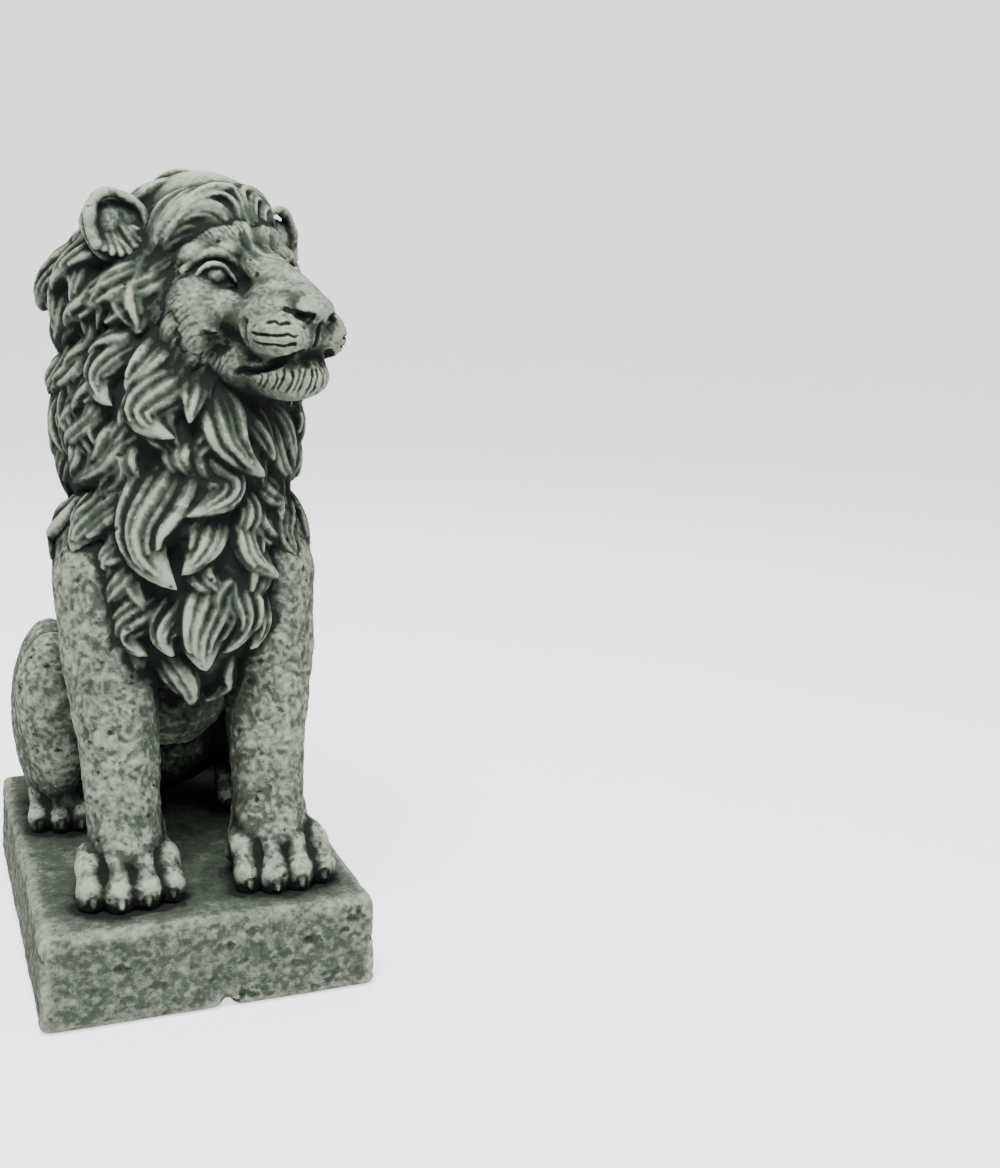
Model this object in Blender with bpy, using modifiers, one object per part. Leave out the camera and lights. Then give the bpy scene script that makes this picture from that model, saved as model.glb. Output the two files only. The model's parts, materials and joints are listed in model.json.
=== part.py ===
# A seated stone lion with a full mane, cast in one piece with its plinth.
# The lion looks along -Y with its head turned to its own left, +X. Up is +Z, and the
# origin is the middle of the plinth's underside.
#
# The figure is built up the way a modeller works in clay: rounded masses are laid over each
# other and fused by a voxel Remesh, the mane's locks are laid on them in tiers, and the face
# and paws are cut last with strokes. It is then thinned and joined to the plinth.

import itertools
import math
import random

import bmesh
import bpy
import numpy as np
from mathutils import Matrix, Vector
from mathutils.bvhtree import BVHTree

# Driving dimensions, in metres
PLINTH_WIDTH = 0.256
PLINTH_DEPTH = 0.372
PLINTH_HEIGHT = 0.075
PLINTH_DRAFT = 0.002  # each side leans out by this much from top to bottom
PLINTH_EDGE = 0.006  # the worn rounding of its edges
FIGURE_HEIGHT = 0.560  # from the plinth's top to the crest of the mane
STONE_COLOUR = (0.34, 0.37, 0.33, 1.0)

# The figure's own unit. It is drawn 56 units high, so at its real size a unit is a centimetre.
UNIT = FIGURE_HEIGHT / 56.0

# How finely the figure is worked, in units
MASS_GRAIN = 0.40
DETAIL_GRAIN = 0.26
FIGURE_TRIANGLES = 8800

# Where the head sits and how it is turned, in figure units and degrees
HEAD_PLACE = (5.5, -8.5, 47.1)  # the point midway between the eyes
HEAD_TURN = 27.0
HEAD_NOD = -2.0
HEAD_TILT = 1.5

# The lion's left eye in head units, and how many degrees it looks outwards
EYE_PLACE = (3.45, 0.45, -0.35)
EYE_RADIUS = 1.0
EYE_TURN = 18.0

# The middle of the mane, seen from above, in figure units. Angles round it are in degrees from
# the front, positive to the lion's left.
MANE_MIDDLE = (0.6, -1.0)

# The bold locks of the front, tier by tier. Each is its width, the degrees it bows to the left,
# the angle and height where it springs, and the angle and height where it ends.
FRONT_LOCKS = {
    "temple": [(1.0, 0, -10, 51, -42, 48), (1.2, -3, -14, 49, -58, 45), (2.2, -2, -10, 48, -57, 44)],
    "cheek": [(1.3, 0, -12, 46, -48, 43), (2.2, -8, -21, 44, -35, 37), (1.6, -1, -10, 43, -30, 38)],
    "beard": [
        (2.3, -8, -3, 40, -10, 35),
        (1.2, 0, 1, 40, -5, 36),
        (2.3, -4, 4, 39, 28, 32),
        (1.4, 0, 19, 38, 34, 33),
        (2.6, -4, 34, 37, 64, 31),
        (1.8, 0, 66, 37, 68, 32),
        (1.5, 2, 81, 40, 72, 34),
    ],
    "neck": [
        (1.7, -4, -48, 43, -60, 37),
        (1.8, 3, -43, 40, -60, 35),
        (1.6, 6, -70, 48, -90, 44),
        (1.6, -6, -62, 45, -88, 39),
        (2.1, -4, -42, 38, -65, 33),
        (1.9, -8, -68, 38, -86, 33),
        (1.8, -8, -66, 35, -78, 29),
    ],
    "throat": [
        (3.2, -6, -12, 35, -10, 24),
        (2.3, 8, 2, 35, -8, 29),
        (1.9, 1, 8, 30, -9, 25),
        (1.6, 4, 29, 32, 36, 28),
        (1.9, -4, 17, 30, 32, 24),
        (2.0, -4, 50, 32, 46, 25),
        (1.3, 0, 64, 31, 58, 25),
        (2.2, 5, -24, 36, -66, 31),
        (2.3, -3, -25, 32, -51, 26),
        (1.6, -6, -60, 30, -64, 25),
    ],
    "chest": [
        (1.3, -2, -24, 28, -37, 25),
        (1.9, 0, -21, 27, -39, 22),
        (2.0, -6, -14, 24, -20, 19),
        (1.8, -3, -6, 24, -11, 19),
        (2.9, -2, 8, 25, 0, 18),
        (1.6, 4, 17, 25, 5, 19),
        (1.8, 1, 28, 24, 18, 19),
        (1.6, 0, -33, 22, -24, 17),
        (1.8, 1, -18, 19, -4, 15),
        (1.5, 3, 20, 18, 2, 15),
    ],
}

SEED = 7


def clear_scene():
    for obj in list(bpy.data.objects):
        bpy.data.objects.remove(obj)


def figure_frame():
    """Figure units to metres, standing on the plinth."""
    return Matrix.Translation((0, 0, PLINTH_HEIGHT)) @ Matrix.Scale(UNIT, 4)


def head_frame():
    """Head units to figure units. The face looks along its own -Y."""
    turn = Matrix.Rotation(math.radians(HEAD_TURN), 4, "Z")
    nod = Matrix.Rotation(math.radians(HEAD_NOD), 4, "X")
    tilt = Matrix.Rotation(math.radians(HEAD_TILT), 4, "Y")
    return Matrix.Translation(HEAD_PLACE) @ turn @ nod @ tilt


def rotated(turns):
    matrix = Matrix.Identity(4)
    for angle, axis in zip(turns, "XYZ"):
        matrix = Matrix.Rotation(math.radians(angle), 4, axis) @ matrix
    return matrix


def ball(clay, centre, radii, turns=(0, 0, 0), frame=None, facets=20):
    """Adds an ellipsoid."""
    place = Matrix.Translation(centre) @ rotated(turns) @ Matrix.Diagonal((*radii, 1))
    bmesh.ops.create_uvsphere(
        clay,
        u_segments=facets,
        v_segments=facets // 2 + 2,
        radius=1,
        matrix=(frame or Matrix.Identity(4)) @ place,
    )


def smooth_line(points, count):
    """A Catmull-Rom curve through points of any width, sampled evenly in its parameter."""
    p = np.array(points, float)
    p = np.vstack([2 * p[0] - p[1], p, 2 * p[-1] - p[-2]])
    out = []
    for s in np.linspace(0, len(points) - 1 - 1e-9, count):
        i = int(s)
        t = s - i
        a, b, c, d = p[i : i + 4]
        out.append(
            0.5 * (2 * b + (c - a) * t + (2 * a - 5 * b + 4 * c - d) * t * t
                   + (3 * b - a - 3 * c + d) * t ** 3)
        )
    return np.array(out)


def roll(clay, stations, frame=None, steps=6, sides=12):
    """Adds a tapered roll of clay through stations of (x, y, z, radius), with round ends."""
    line = smooth_line(stations, (len(stations) - 1) * steps + 1)
    frame = frame or Matrix.Identity(4)
    rings = []
    side = None
    for i, (x, y, z, r) in enumerate(line):
        ahead = line[min(i + 1, len(line) - 1)][:3] - line[max(i - 1, 0)][:3]
        axis = Vector(ahead).normalized()
        if side is None:
            side = axis.orthogonal().normalized()
        side = (side - axis * side.dot(axis)).normalized()
        other = axis.cross(side)
        ring = []
        for k in range(sides):
            a = 2 * math.pi * k / sides
            offset = (side * math.cos(a) + other * math.sin(a)) * r
            ring.append(clay.verts.new(frame @ (Vector((x, y, z)) + offset)))
        rings.append(ring)
    for low, high in zip(rings, rings[1:]):
        for k in range(sides):
            n = (k + 1) % sides
            clay.faces.new((low[k], low[n], high[n], high[k]))
    clay.faces.new(list(reversed(rings[0])))
    clay.faces.new(rings[-1])
    for x, y, z, r in (line[0], line[-1]):
        ball(clay, (x, y, z), (r, r, r), frame=frame, facets=sides)


def both(build):
    """Calls build for the two sides of a pair, with 1 for the lion's left and -1 for its right."""
    for side in (1, -1):
        build(side)


# The masses


def add_body(clay):
    ball(clay, (0.4, -2.4, 23.5), (8.3, 6.8, 10.0), (-8, 0, 0))  # ribs
    ball(clay, (0.3, 6.0, 16.0), (7.0, 7.8, 10.0), (-32, 0, 0))  # loin
    ball(clay, (0.0, 10.5, 8.0), (8.3, 6.6, 7.8))  # rump
    ball(clay, (0.4, 3.0, 27.0), (7.0, 7.0, 10.0), (-20, 0, 0))  # withers
    roll(
        clay,
        [(0.4, 5.6, 26.0, 5.6), (0.2, 8.6, 19.0, 6.6), (0.0, 10.2, 12.0, 6.9), (0.0, 10.6, 7.5, 6.6)],
        sides=16,
    )  # back
    both(lambda s: ball(clay, (0.4 + 6.2 * s, -4.6, 23.5), (3.9, 4.8, 7.6), (6, 0, 0)))


def add_foreleg(clay, s):
    x = 0.4
    front = [
        (x + 6.1 * s, -6.3, 24.0, 4.1),
        (x + 6.1 * s, -7.6, 17.5, 3.7),
        (x + 5.8 * s, -9.0, 11.0, 3.1),
        (x + 5.7 * s, -10.0, 6.0, 2.85),
        (x + 5.8 * s, -11.2, 2.8, 2.9),
    ]
    back = [
        (x + 6.0 * s, -4.0, 23.0, 3.6),
        (x + 5.9 * s, -4.6, 16.5, 3.0),
        (x + 5.4 * s, -6.8, 10.0, 2.3),
        (x + 5.2 * s, -8.2, 5.0, 2.1),
    ]
    roll(clay, front, sides=16)
    roll(clay, back, sides=14)


def add_hind_leg(clay, s):
    x = 8.6 * s
    ball(clay, (x, 8.2, 8.8), (3.5, 7.6, 8.4), (-14, 0, 0))  # thigh
    ball(clay, (x + 0.2 * s, 4.2, 11.4), (3.3, 3.9, 5.8), (8, 0, 0))  # knee
    roll(
        clay,
        [(x, 5.6, 9.0, 3.1), (x - 0.1 * s, 6.6, 4.6, 2.3), (x - 0.2 * s, 7.6, 1.6, 1.9)],
    )
    roll(clay, [(x, 11.0, 1.8, 1.9), (x - 0.2 * s, 6.5, 1.7, 1.9), (x - 0.4 * s, 4.0, 1.6, 2.1)])


def add_mane_masses(clay):
    ball(clay, (0.7, -1.6, 35.0), (9.3, 9.4, 12.0), (-6, 0, 0))  # neck
    ball(clay, (0.2, -6.8, 26.0), (7.2, 5.4, 11.2), (-8, 0, 0))  # chest
    ball(clay, (0.9, 4.0, 34.0), (7.8, 6.2, 12.5), (-16, 0, 0))  # back of the neck
    ball(clay, (1.6, -0.6, 43.5), (9.6, 8.2, 8.6))  # ruff
    head = head_frame()
    ball(clay, (-0.4, 6.0, 2.3), (5.4, 5.6, 5.2), (0, 8, 0), head)  # crest
    ball(clay, (0, 5.0, -7.0), (6.6, 5.6, 7.0), frame=head)  # throat


def add_head_masses(clay):
    head = head_frame()
    ball(clay, (0, 4.2, -0.3), (5.6, 5.0, 4.7), frame=head)  # skull
    ball(clay, (0, 2.2, 1.9), (4.2, 2.6, 2.2), (-25, 0, 0), head)  # forehead
    roll(
        clay,
        [(0, 1.4, 0.5, 2.3), (0, -1.6, -0.75, 1.95), (0, -4.2, -1.9, 1.8), (0, -5.8, -2.75, 1.6)],
        head,
    )  # bridge
    ball(clay, (0, -1.9, -2.6), (3.0, 4.2, 2.0), (-20, 0, 0), head)  # sides of the nose
    ball(clay, (0, -3.2, -4.2), (3.3, 3.6, 2.4), frame=head)  # muzzle
    ball(clay, (0, -3.0, -7.4), (2.9, 4.0, 2.0), (4, 0, 0), head)  # chin
    ball(clay, (0, 1.2, -6.2), (4.4, 4.4, 3.2), frame=head)  # jaw

    def side(s):
        ball(clay, (2.3 * s, 0.9, 1.3), (1.6, 1.3, 1.0), (-20, 10 * s, 10 * s), head)  # inner brow
        ball(clay, (4.0 * s, 2.1, 1.1), (1.5, 1.3, 1.1), (-10, 20 * s, 30 * s), head)  # outer brow
        ball(clay, (4.1 * s, 2.6, -3.8), (2.4, 3.5, 4.0), frame=head)  # cheek
        ball(clay, (3.8 * s, 0.9, -2.9), (1.8, 3.3, 1.6), (-6, -14 * s, -14 * s), head)  # cheekbone
        ball(clay, (1.95 * s, -4.3, -4.4), (2.15, 2.9, 2.0), (6, 0, -8 * s), head)  # lip pad
        ball(clay, (1.9 * s, -3.0, -3.3), (1.9, 3.2, 1.7), (-10, 0, -8 * s), head)  # above the pad

    both(side)


# Crisp parts laid over the masses


def add_paw(clay, x, y, s, width, length):
    """A paw with four toes. x, y is its middle, and s the side that its outer toe is on."""
    ball(clay, (x, y + 0.9, 1.5), (width * 0.46, length * 0.50, 2.3))
    for k in range(4):
        across = (k - 1.5) / 1.5
        tx = x + across * width * 0.37
        reach = length * (0.52 - 0.13 * across * across)
        thick = width * (0.135 - 0.015 * abs(across))
        lean = across * 0.25
        roll(
            clay,
            [
                (tx - lean, y + 0.8, 2.7, thick),
                (tx, y - reach * 0.42, 3.1 - 0.4 * abs(across), thick * 1.02),
                (tx + lean * 0.6, y - reach * 0.8, 1.75, thick * 1.02),
                (tx + lean * 0.6, y - reach * 0.98, 0.75, thick * 0.95),
            ],
            sides=10,
        )
        claw = (tx + lean * 0.6, y - reach * 1.02 - thick * 0.75, 0.75)
        ball(clay, claw, (0.3, 0.55, 0.42), (24, 0, 0), facets=8)


def add_feet(clay):
    both(lambda s: add_paw(clay, 0.5 + 5.9 * s, -11.6, s, 7.6, 6.6))
    both(lambda s: add_paw(clay, 0.0 + 8.0 * s, 5.4, s, 6.2, 6.4))
    # the loose skin behind each forepaw's inner toe
    both(
        lambda s: roll(
            clay,
            [
                (0.4 + 3.7 * s, -9.0, 7.5, 0.5),
                (0.4 + 3.2 * s, -9.4, 4.2, 0.62),
                (0.4 + 2.6 * s, -10.4, 1.6, 0.6),
            ],
            sides=8,
        )
    )


def add_tail(clay):
    """It leaves the rump low, rounds the lion's left haunch and ends in a tuft on the plinth."""
    roll(
        clay,
        [
            (1.0, 16.0, 5.0, 1.4),
            (4.5, 16.6, 2.2, 1.25),
            (8.6, 15.4, 1.1, 1.1),
            (10.9, 11.8, 1.0, 1.0),
        ],
        sides=10,
    )
    roll(
        clay,
        [(10.9, 11.8, 1.0, 1.0), (11.2, 9.6, 1.1, 1.35), (11.0, 7.4, 0.9, 1.05), (10.8, 5.6, 0.6, 0.4)],
        sides=10,
    )


def add_lid(clay, s, low, high, radius, gap):
    """A lid: a roll round the eyeball from corner to corner, low at both and high between them."""
    centre = Vector(EYE_PLACE)
    stations = []
    for k in range(7):
        t = k / 6
        around = math.radians(-68 + 140 * t + EYE_TURN)
        rise = math.radians(low + (high - low) * math.sin(math.pi * t) ** 0.8)
        out = Vector((math.sin(around) * math.cos(rise), -math.cos(around) * math.cos(rise), math.sin(rise)))
        point = centre + out * (EYE_RADIUS + gap)
        stations.append((point.x * s, point.y, point.z, radius * (0.6 + 0.4 * math.sin(math.pi * t))))
    roll(clay, stations, head_frame(), steps=2, sides=8)


def add_nose_and_eyes(clay):
    head = head_frame()
    ball(clay, (0, -6.5, -2.8), (1.5, 1.1, 1.15), (10, 0, 0), head)

    def side(s):
        wing = [(0.3 * s, -7.3, -2.3, 0.55), (1.2 * s, -7.0, -2.35, 0.6), (1.95 * s, -5.9, -2.8, 0.45)]
        roll(clay, wing, head, sides=8)
        x, y, z = EYE_PLACE
        ball(clay, (x * s, y, z), (EYE_RADIUS, EYE_RADIUS, EYE_RADIUS), frame=head, facets=16)
        add_lid(clay, s, -12, 44, 0.34, 0.18)
        add_lid(clay, s, -14, -46, 0.26, 0.08)

    both(side)


def add_ear(clay, s):
    """A round cup, open forwards: a disc of clay with a raised rim."""
    head = head_frame()
    centre = Vector((7.9 * s, 6.3, 3.2))
    facing = Matrix.Rotation(math.radians(24 * s), 4, "Z") @ Matrix.Rotation(math.radians(-14), 4, "X")
    rim = []
    for k in range(10):
        a = math.radians(-60 + 300 * k / 9 * 0.93)
        local = Vector((-s * math.cos(a) * 2.1, 0, math.sin(a) * 2.35))
        point = centre + (facing @ local)
        rim.append((*point, 0.52))
    roll(clay, rim, head, steps=2, sides=8)
    back = centre + (facing @ Vector((0, 0.75, 0)))
    ball(clay, back, (2.15, 0.75, 2.35), (-14, 0, 24 * s), head)


# The mane


def lock_profile(t):
    """Width, thickness and lift of a lock at t along it, as shares of their largest values."""
    width = (0.6 + 0.4 * math.sin(math.pi / 2 * min(1.0, t / 0.45))) * max(0.0, 1.0 - t**2.9) ** 0.85
    thick = (0.5 + 0.5 * math.sin(math.pi * min(1.0, t * 1.15))) * max(0.0, 1.0 - t**4) ** 0.6
    lift = -0.45 + 1.35 * t**0.9
    return width, thick, lift


def mane_flow(point, normal, face):
    """The way the hair falls at a point: away from the face near it, and down further off."""
    local = face.inverted() @ point
    radial = Vector((local.x, 0, local.z + 2.0))
    away = max(0.0, radial.length - 5.5) + max(0.0, local.y - 1.0) * 0.7
    near = math.exp(-away / 4.5)
    if radial.length > 1e-6:
        radial.normalize()
    outward = face.to_3x3() @ (radial * 0.8 + Vector((0, 0.75, 0)))
    down = Vector((0, 0.12 if point.y > 0 else 0.0, -1))
    flow = outward * near + down * (1.0 - 0.7 * near)
    flow -= normal * flow.dot(normal)
    return flow.normalized()


def lock_spine(surface, start, length, bend, face, steps):
    """Points, normals and headings of a lock that follows the hair's flow over the surface."""
    point, normal = surface.find_nearest(start)[:2]
    spine = []
    for i in range(steps + 1):
        t = i / steps
        turn = Matrix.Rotation(math.radians(bend * math.cos(math.pi * t * 1.2)), 3, normal)
        ahead = turn @ mane_flow(point, normal, face)
        spine.append((t, point.copy(), normal.copy(), ahead))
        step = point + ahead * (length / steps)
        found, found_normal = surface.find_nearest(step)[:2]
        normal = (normal * 0.45 + found_normal * 0.55).normalized()
        point = found.lerp(step, 0.25)
    return spine


def mane_point(surface, angle, height):
    """Where a level line from outside, at that angle round the mane, meets the surface."""
    turn = math.radians(angle)
    inward = Vector((-math.sin(turn), math.cos(turn), 0))
    middle = Vector((*MANE_MIDDLE, height))
    return surface.ray_cast(middle - inward * 30, inward)[:2]


def set_spine(surface, bow, start, end, steps=9):
    """A lock's spine from one (angle, height) to another, bowing sideways between them."""
    points = []
    for i in range(steps + 1):
        t = i / steps
        angle = start[0] + (end[0] - start[0]) * t + bow * math.sin(math.pi * t)
        height = start[1] + (end[1] - start[1]) * t
        point, normal = mane_point(surface, angle, height)
        if points and (point - points[-1][0]).length > 3.0:
            point, normal = surface.find_nearest(points[-1][0] + Vector((0, 0, -0.6)))[:2]
        points.append((point, normal))
    spine = []
    for i, (point, normal) in enumerate(points):
        ahead = points[min(i + 1, steps)][0] - points[max(i - 1, 0)][0]
        spine.append((i / steps, point, normal, ahead.normalized()))
    return spine


def add_lock(clay, spine, width, thick, across=5):
    """Lays one tapered lock along a spine."""
    rings = []
    for t, point, normal, ahead in spine[:-1]:
        share_w, share_t, share_l = lock_profile(t)
        side = ahead.cross(normal).normalized() * (share_w * width / 2)
        middle = point + normal * (share_l * thick)
        ring = []
        for k in range(across):
            u = -1 + 2 * k / (across - 1)
            rise = share_t * thick * math.sqrt(max(0.0, 1 - 0.92 * u * u))
            ring.append(middle + side * u + normal * rise)
        for k in reversed(range(1, across - 1)):
            u = -1 + 2 * k / (across - 1)
            ring.append(middle + side * (0.8 * u) - normal * (share_t * thick * 0.75))
        rings.append([clay.verts.new(p) for p in ring])
    point, normal = spine[-1][1:3]
    tip = clay.verts.new(point + normal * (lock_profile(1.0)[2] * thick))
    sides = len(rings[0])
    for low, high in zip(rings, rings[1:]):
        for k in range(sides):
            n = (k + 1) % sides
            clay.faces.new((low[k], low[n], high[n], high[k]))
    for k in range(sides):
        clay.faces.new((rings[-1][k], rings[-1][(k + 1) % sides], tip))
    clay.faces.new(list(reversed(rings[0])))


def face_opening(local):
    """Below 1 inside the bare face and muzzle, seen from in front. local is in head units."""
    if local.y > 3.2:
        return 9.0
    return math.hypot(local.x / 5.9, (local.z + 2.4) / (5.9 if local.z > -2.4 else 7.4))


def mane_floor(point):
    """How low the mane's locks may start, in units above the plinth: lower on the chest."""
    around = math.atan2(point.x - 0.5, -(point.y + 1.0))
    front = max(0.0, math.cos(around))
    back = max(0.0, -math.cos(around))
    return 35.0 - 12.0 * front**2.0 - 3.0 * back


def scattered(mesh, spacing, face, rng):
    """Points of the mane's surface in random order, none nearer to another than spacing."""
    inverse = face.inverted()
    points = [v.co.copy() for v in mesh.vertices if v.co.z > 21]
    rng.shuffle(points)
    kept = []
    for p in points:
        if p.z < mane_floor(p) or face_opening(inverse @ p) < 1.12:
            continue
        if all((p - q).length_squared > spacing * spacing for q in kept):
            kept.append(p)
    return sorted(kept, key=lambda p: p.z)


def add_mane(clay, mesh, surface, face):
    rng = random.Random(SEED)
    front = []
    for width, bow, *ends in itertools.chain(*FRONT_LOCKS.values()):
        front.append((width, set_spine(surface, 1.4 * bow, ends[:2], ends[2:])))
    taken = [point for _, spine in front for _, point, _, _ in spine]
    # a thin layer underneath, then the bold locks where none is placed by hand
    for spacing, length, width, thick in ((3.0, 6.4, 2.6, 0.7), (3.6, 8.8, 3.8, 1.5)):
        for start in scattered(mesh, spacing, face, rng):
            if thick > 1 and min((start - p).length for p in taken) < 3.0:
                continue
            bend = rng.choice((-1, 1)) * rng.uniform(16, 40)
            spine = lock_spine(surface, start, length * rng.uniform(0.85, 1.1), bend, face, 9)
            add_lock(clay, spine, width * rng.uniform(0.85, 1.1), thick * rng.uniform(0.85, 1.15))
    for width, spine in front:
        add_lock(clay, spine, width * 1.45, 0.75 + 0.32 * width)
    # the hair that springs from the edge of the face
    count = 21
    for k in range(count):
        around = math.radians(-150 + 300 * k / (count - 1))
        x = 5.8 * math.sin(around)
        z = -2.4 + (6.2 if math.cos(around) > 0 else 7.0) * math.cos(around)
        start = face @ Vector((x, 1.8, z))
        bend = 20 * (1 if math.sin(around) > 0 else -1) + rng.uniform(-10, 10)
        length = rng.uniform(4.4, 6.0) + 3.0 * max(0.0, math.cos(around)) ** 2
        add_lock(clay, lock_spine(surface, start, length, bend, face, 9), rng.uniform(1.7, 2.2), 0.85)


# Working the clay


def new_object(name, mesh):
    obj = bpy.data.objects.new(name, mesh)
    bpy.context.scene.collection.objects.link(obj)
    return obj


def mesh_of(clay, name):
    bmesh.ops.recalc_face_normals(clay, faces=clay.faces)
    mesh = bpy.data.meshes.new(name)
    clay.to_mesh(mesh)
    clay.free()
    return mesh


def applied(obj):
    """The object's mesh with its modifiers applied. The object itself is removed."""
    graph = bpy.context.evaluated_depsgraph_get()
    mesh = bpy.data.meshes.new_from_object(obj.evaluated_get(graph))
    bpy.data.objects.remove(obj)
    return mesh


def fused(mesh, grain, softening):
    """One skin round all the shells of mesh, softened by a distance, both in units."""
    obj = new_object("clay", mesh)
    remesh = obj.modifiers.new("Fuse", "REMESH")
    remesh.mode = "VOXEL"
    remesh.voxel_size = grain
    smooth = obj.modifiers.new("Soften", "SMOOTH")
    smooth.factor = 0.5
    smooth.iterations = max(1, round(2 * (softening / grain) ** 2))
    return applied(obj)


def surface_of(mesh):
    clay = bmesh.new()
    clay.from_mesh(mesh)
    surface = BVHTree.FromBMesh(clay)
    clay.free()
    return surface


def points_of(mesh):
    co = np.empty(len(mesh.vertices) * 3)
    mesh.vertices.foreach_get("co", co)
    return co.reshape(-1, 3)


def normals_of(mesh):
    no = np.empty(len(mesh.vertices) * 3)
    mesh.vertices.foreach_get("normal", no)
    return no.reshape(-1, 3)


def stroke(mesh, frame, line, radius, depth, count=24):
    """Presses a groove of that radius and depth along a line, or raises a ridge if depth is below 0."""
    points = np.array([frame @ Vector(p) for p in smooth_line(line, count)])
    co = points_of(mesh)
    near = np.all((co > points.min(0) - radius) & (co < points.max(0) + radius), axis=1)
    index = np.nonzero(near)[0]
    if not len(index):
        return
    here = co[index]
    best = np.full(len(index), np.inf)
    for a, b in zip(points, points[1:]):
        run = b - a
        t = np.clip((here - a) @ run / max(run @ run, 1e-12), 0, 1)
        best = np.minimum(best, np.linalg.norm(here - a - t[:, None] * run, axis=1))
    weight = np.clip(1 - (best / radius) ** 2, 0, 1) ** 2
    co[index] -= normals_of(mesh)[index] * (weight * depth)[:, None]
    mesh.vertices.foreach_set("co", co.ravel())
    mesh.update()


def carve_sockets(mesh):
    """The deep hollows of the face, cut before the eyes are laid in them."""
    head = head_frame()

    def side(s):
        stroke(mesh, head, [(2.5 * s, -0.6, -0.5), (3.4 * s, -0.3, -0.3), (4.5 * s, 0.7, -0.2)], 1.5, 1.0)
        stroke(mesh, head, [(1.8 * s, -2.0, -1.9), (2.2 * s, -1.3, -1.2), (2.5 * s, -0.8, -0.6)], 0.9, 0.5)
        stroke(mesh, head, [(4.1 * s, -1.2, -4.6), (4.4 * s, -0.6, -5.4), (3.9 * s, -1.2, -6.4)], 0.9, 0.5)
        lips = [
            (0, -7.0, -6.0),
            (1.5 * s, -6.6, -6.3),
            (2.6 * s, -5.0, -6.7),
            (3.1 * s, -3.0, -7.1),
            (3.2 * s, -1.6, -7.4),
        ]
        stroke(mesh, head, lips, 0.7, 0.9)

    both(side)


def carve_face(mesh):
    head = head_frame()
    stroke(mesh, head, [(0, -0.9, 1.6), (0, -0.2, 2.8), (0, 1.0, 4.0)], 0.9, 0.35)
    stroke(mesh, head, [(0, -7.9, -3.8), (0, -7.8, -4.8), (0, -7.4, -6.0)], 0.6, 0.5)

    def side(s):
        stroke(mesh, head, [(1.0 * s, -7.8, -3.1), (1.7 * s, -7.3, -3.3)], 0.55, 0.5)

    both(side)


def figure_mesh():
    """The lion without its plinth, in figure units."""
    clay = bmesh.new()
    add_body(clay)
    both(lambda s: add_foreleg(clay, s))
    both(lambda s: add_hind_leg(clay, s))
    add_mane_masses(clay)
    add_head_masses(clay)
    body = fused(mesh_of(clay, "masses"), MASS_GRAIN, 0.7)

    carve_sockets(body)
    face = head_frame()
    surface = surface_of(body)
    clay = bmesh.new()
    add_feet(clay)
    add_tail(clay)
    both(lambda s: add_ear(clay, s))
    add_nose_and_eyes(clay)
    add_mane(clay, body, surface, face)
    clay.from_mesh(body)
    detailed = fused(mesh_of(clay, "details"), DETAIL_GRAIN, 0.18)
    carve_face(detailed)
    return detailed


def thinned(mesh, triangles):
    obj = new_object("figure", mesh)
    decimate = obj.modifiers.new("Thin", "DECIMATE")
    mesh.calc_loop_triangles()
    decimate.ratio = triangles / len(mesh.loop_triangles)
    decimate.use_collapse_triangulate = True
    return applied(obj)


def add_figure():
    mesh = thinned(figure_mesh(), FIGURE_TRIANGLES)
    mesh.transform(figure_frame())
    return new_object("figure", mesh)


def add_plinth():
    """A block whose sides lean out a little towards the foot, with worn edges."""
    clay = bmesh.new()
    bmesh.ops.create_cube(clay, size=1)
    for v in clay.verts:
        lean = PLINTH_DRAFT if v.co.z > 0 else 0.0
        v.co.x *= PLINTH_WIDTH - 2 * lean
        v.co.y *= PLINTH_DEPTH - 2 * lean
        v.co.z = PLINTH_HEIGHT if v.co.z > 0 else 0.0
    edges = [e for e in clay.edges if any(v.co.z > 0 for v in e.verts)]
    bmesh.ops.bevel(clay, geom=edges, offset=PLINTH_EDGE, segments=2, affect="EDGES", profile=0.5)
    return new_object("stone_lion_statue", mesh_of(clay, "stone_lion_statue"))


def stone():
    material = bpy.data.materials.new("weathered_stone")
    material.use_nodes = True
    shader = material.node_tree.nodes["Principled BSDF"]
    shader.inputs["Base Color"].default_value = STONE_COLOUR
    shader.inputs["Roughness"].default_value = 0.9
    shader.inputs["Metallic"].default_value = 0.0
    return material


def main():
    clear_scene()
    statue = add_plinth()
    figure = add_figure()
    union = statue.modifiers.new("Figure", "BOOLEAN")
    union.operation = "UNION"
    union.object = figure
    mesh = applied(statue)
    bpy.data.objects.remove(figure)
    statue = new_object("stone_lion_statue", mesh)
    statue.data.materials.clear()
    statue.data.materials.append(stone())
    statue.data.shade_smooth()
    statue.data.set_sharp_from_angle(angle=math.radians(50))


main()
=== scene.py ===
import json
import math
import random

import bmesh
import bpy
import numpy as np
from mathutils import Matrix, Vector
from mathutils.bvhtree import BVHTree
from mathutils.kdtree import KDTree

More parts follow.
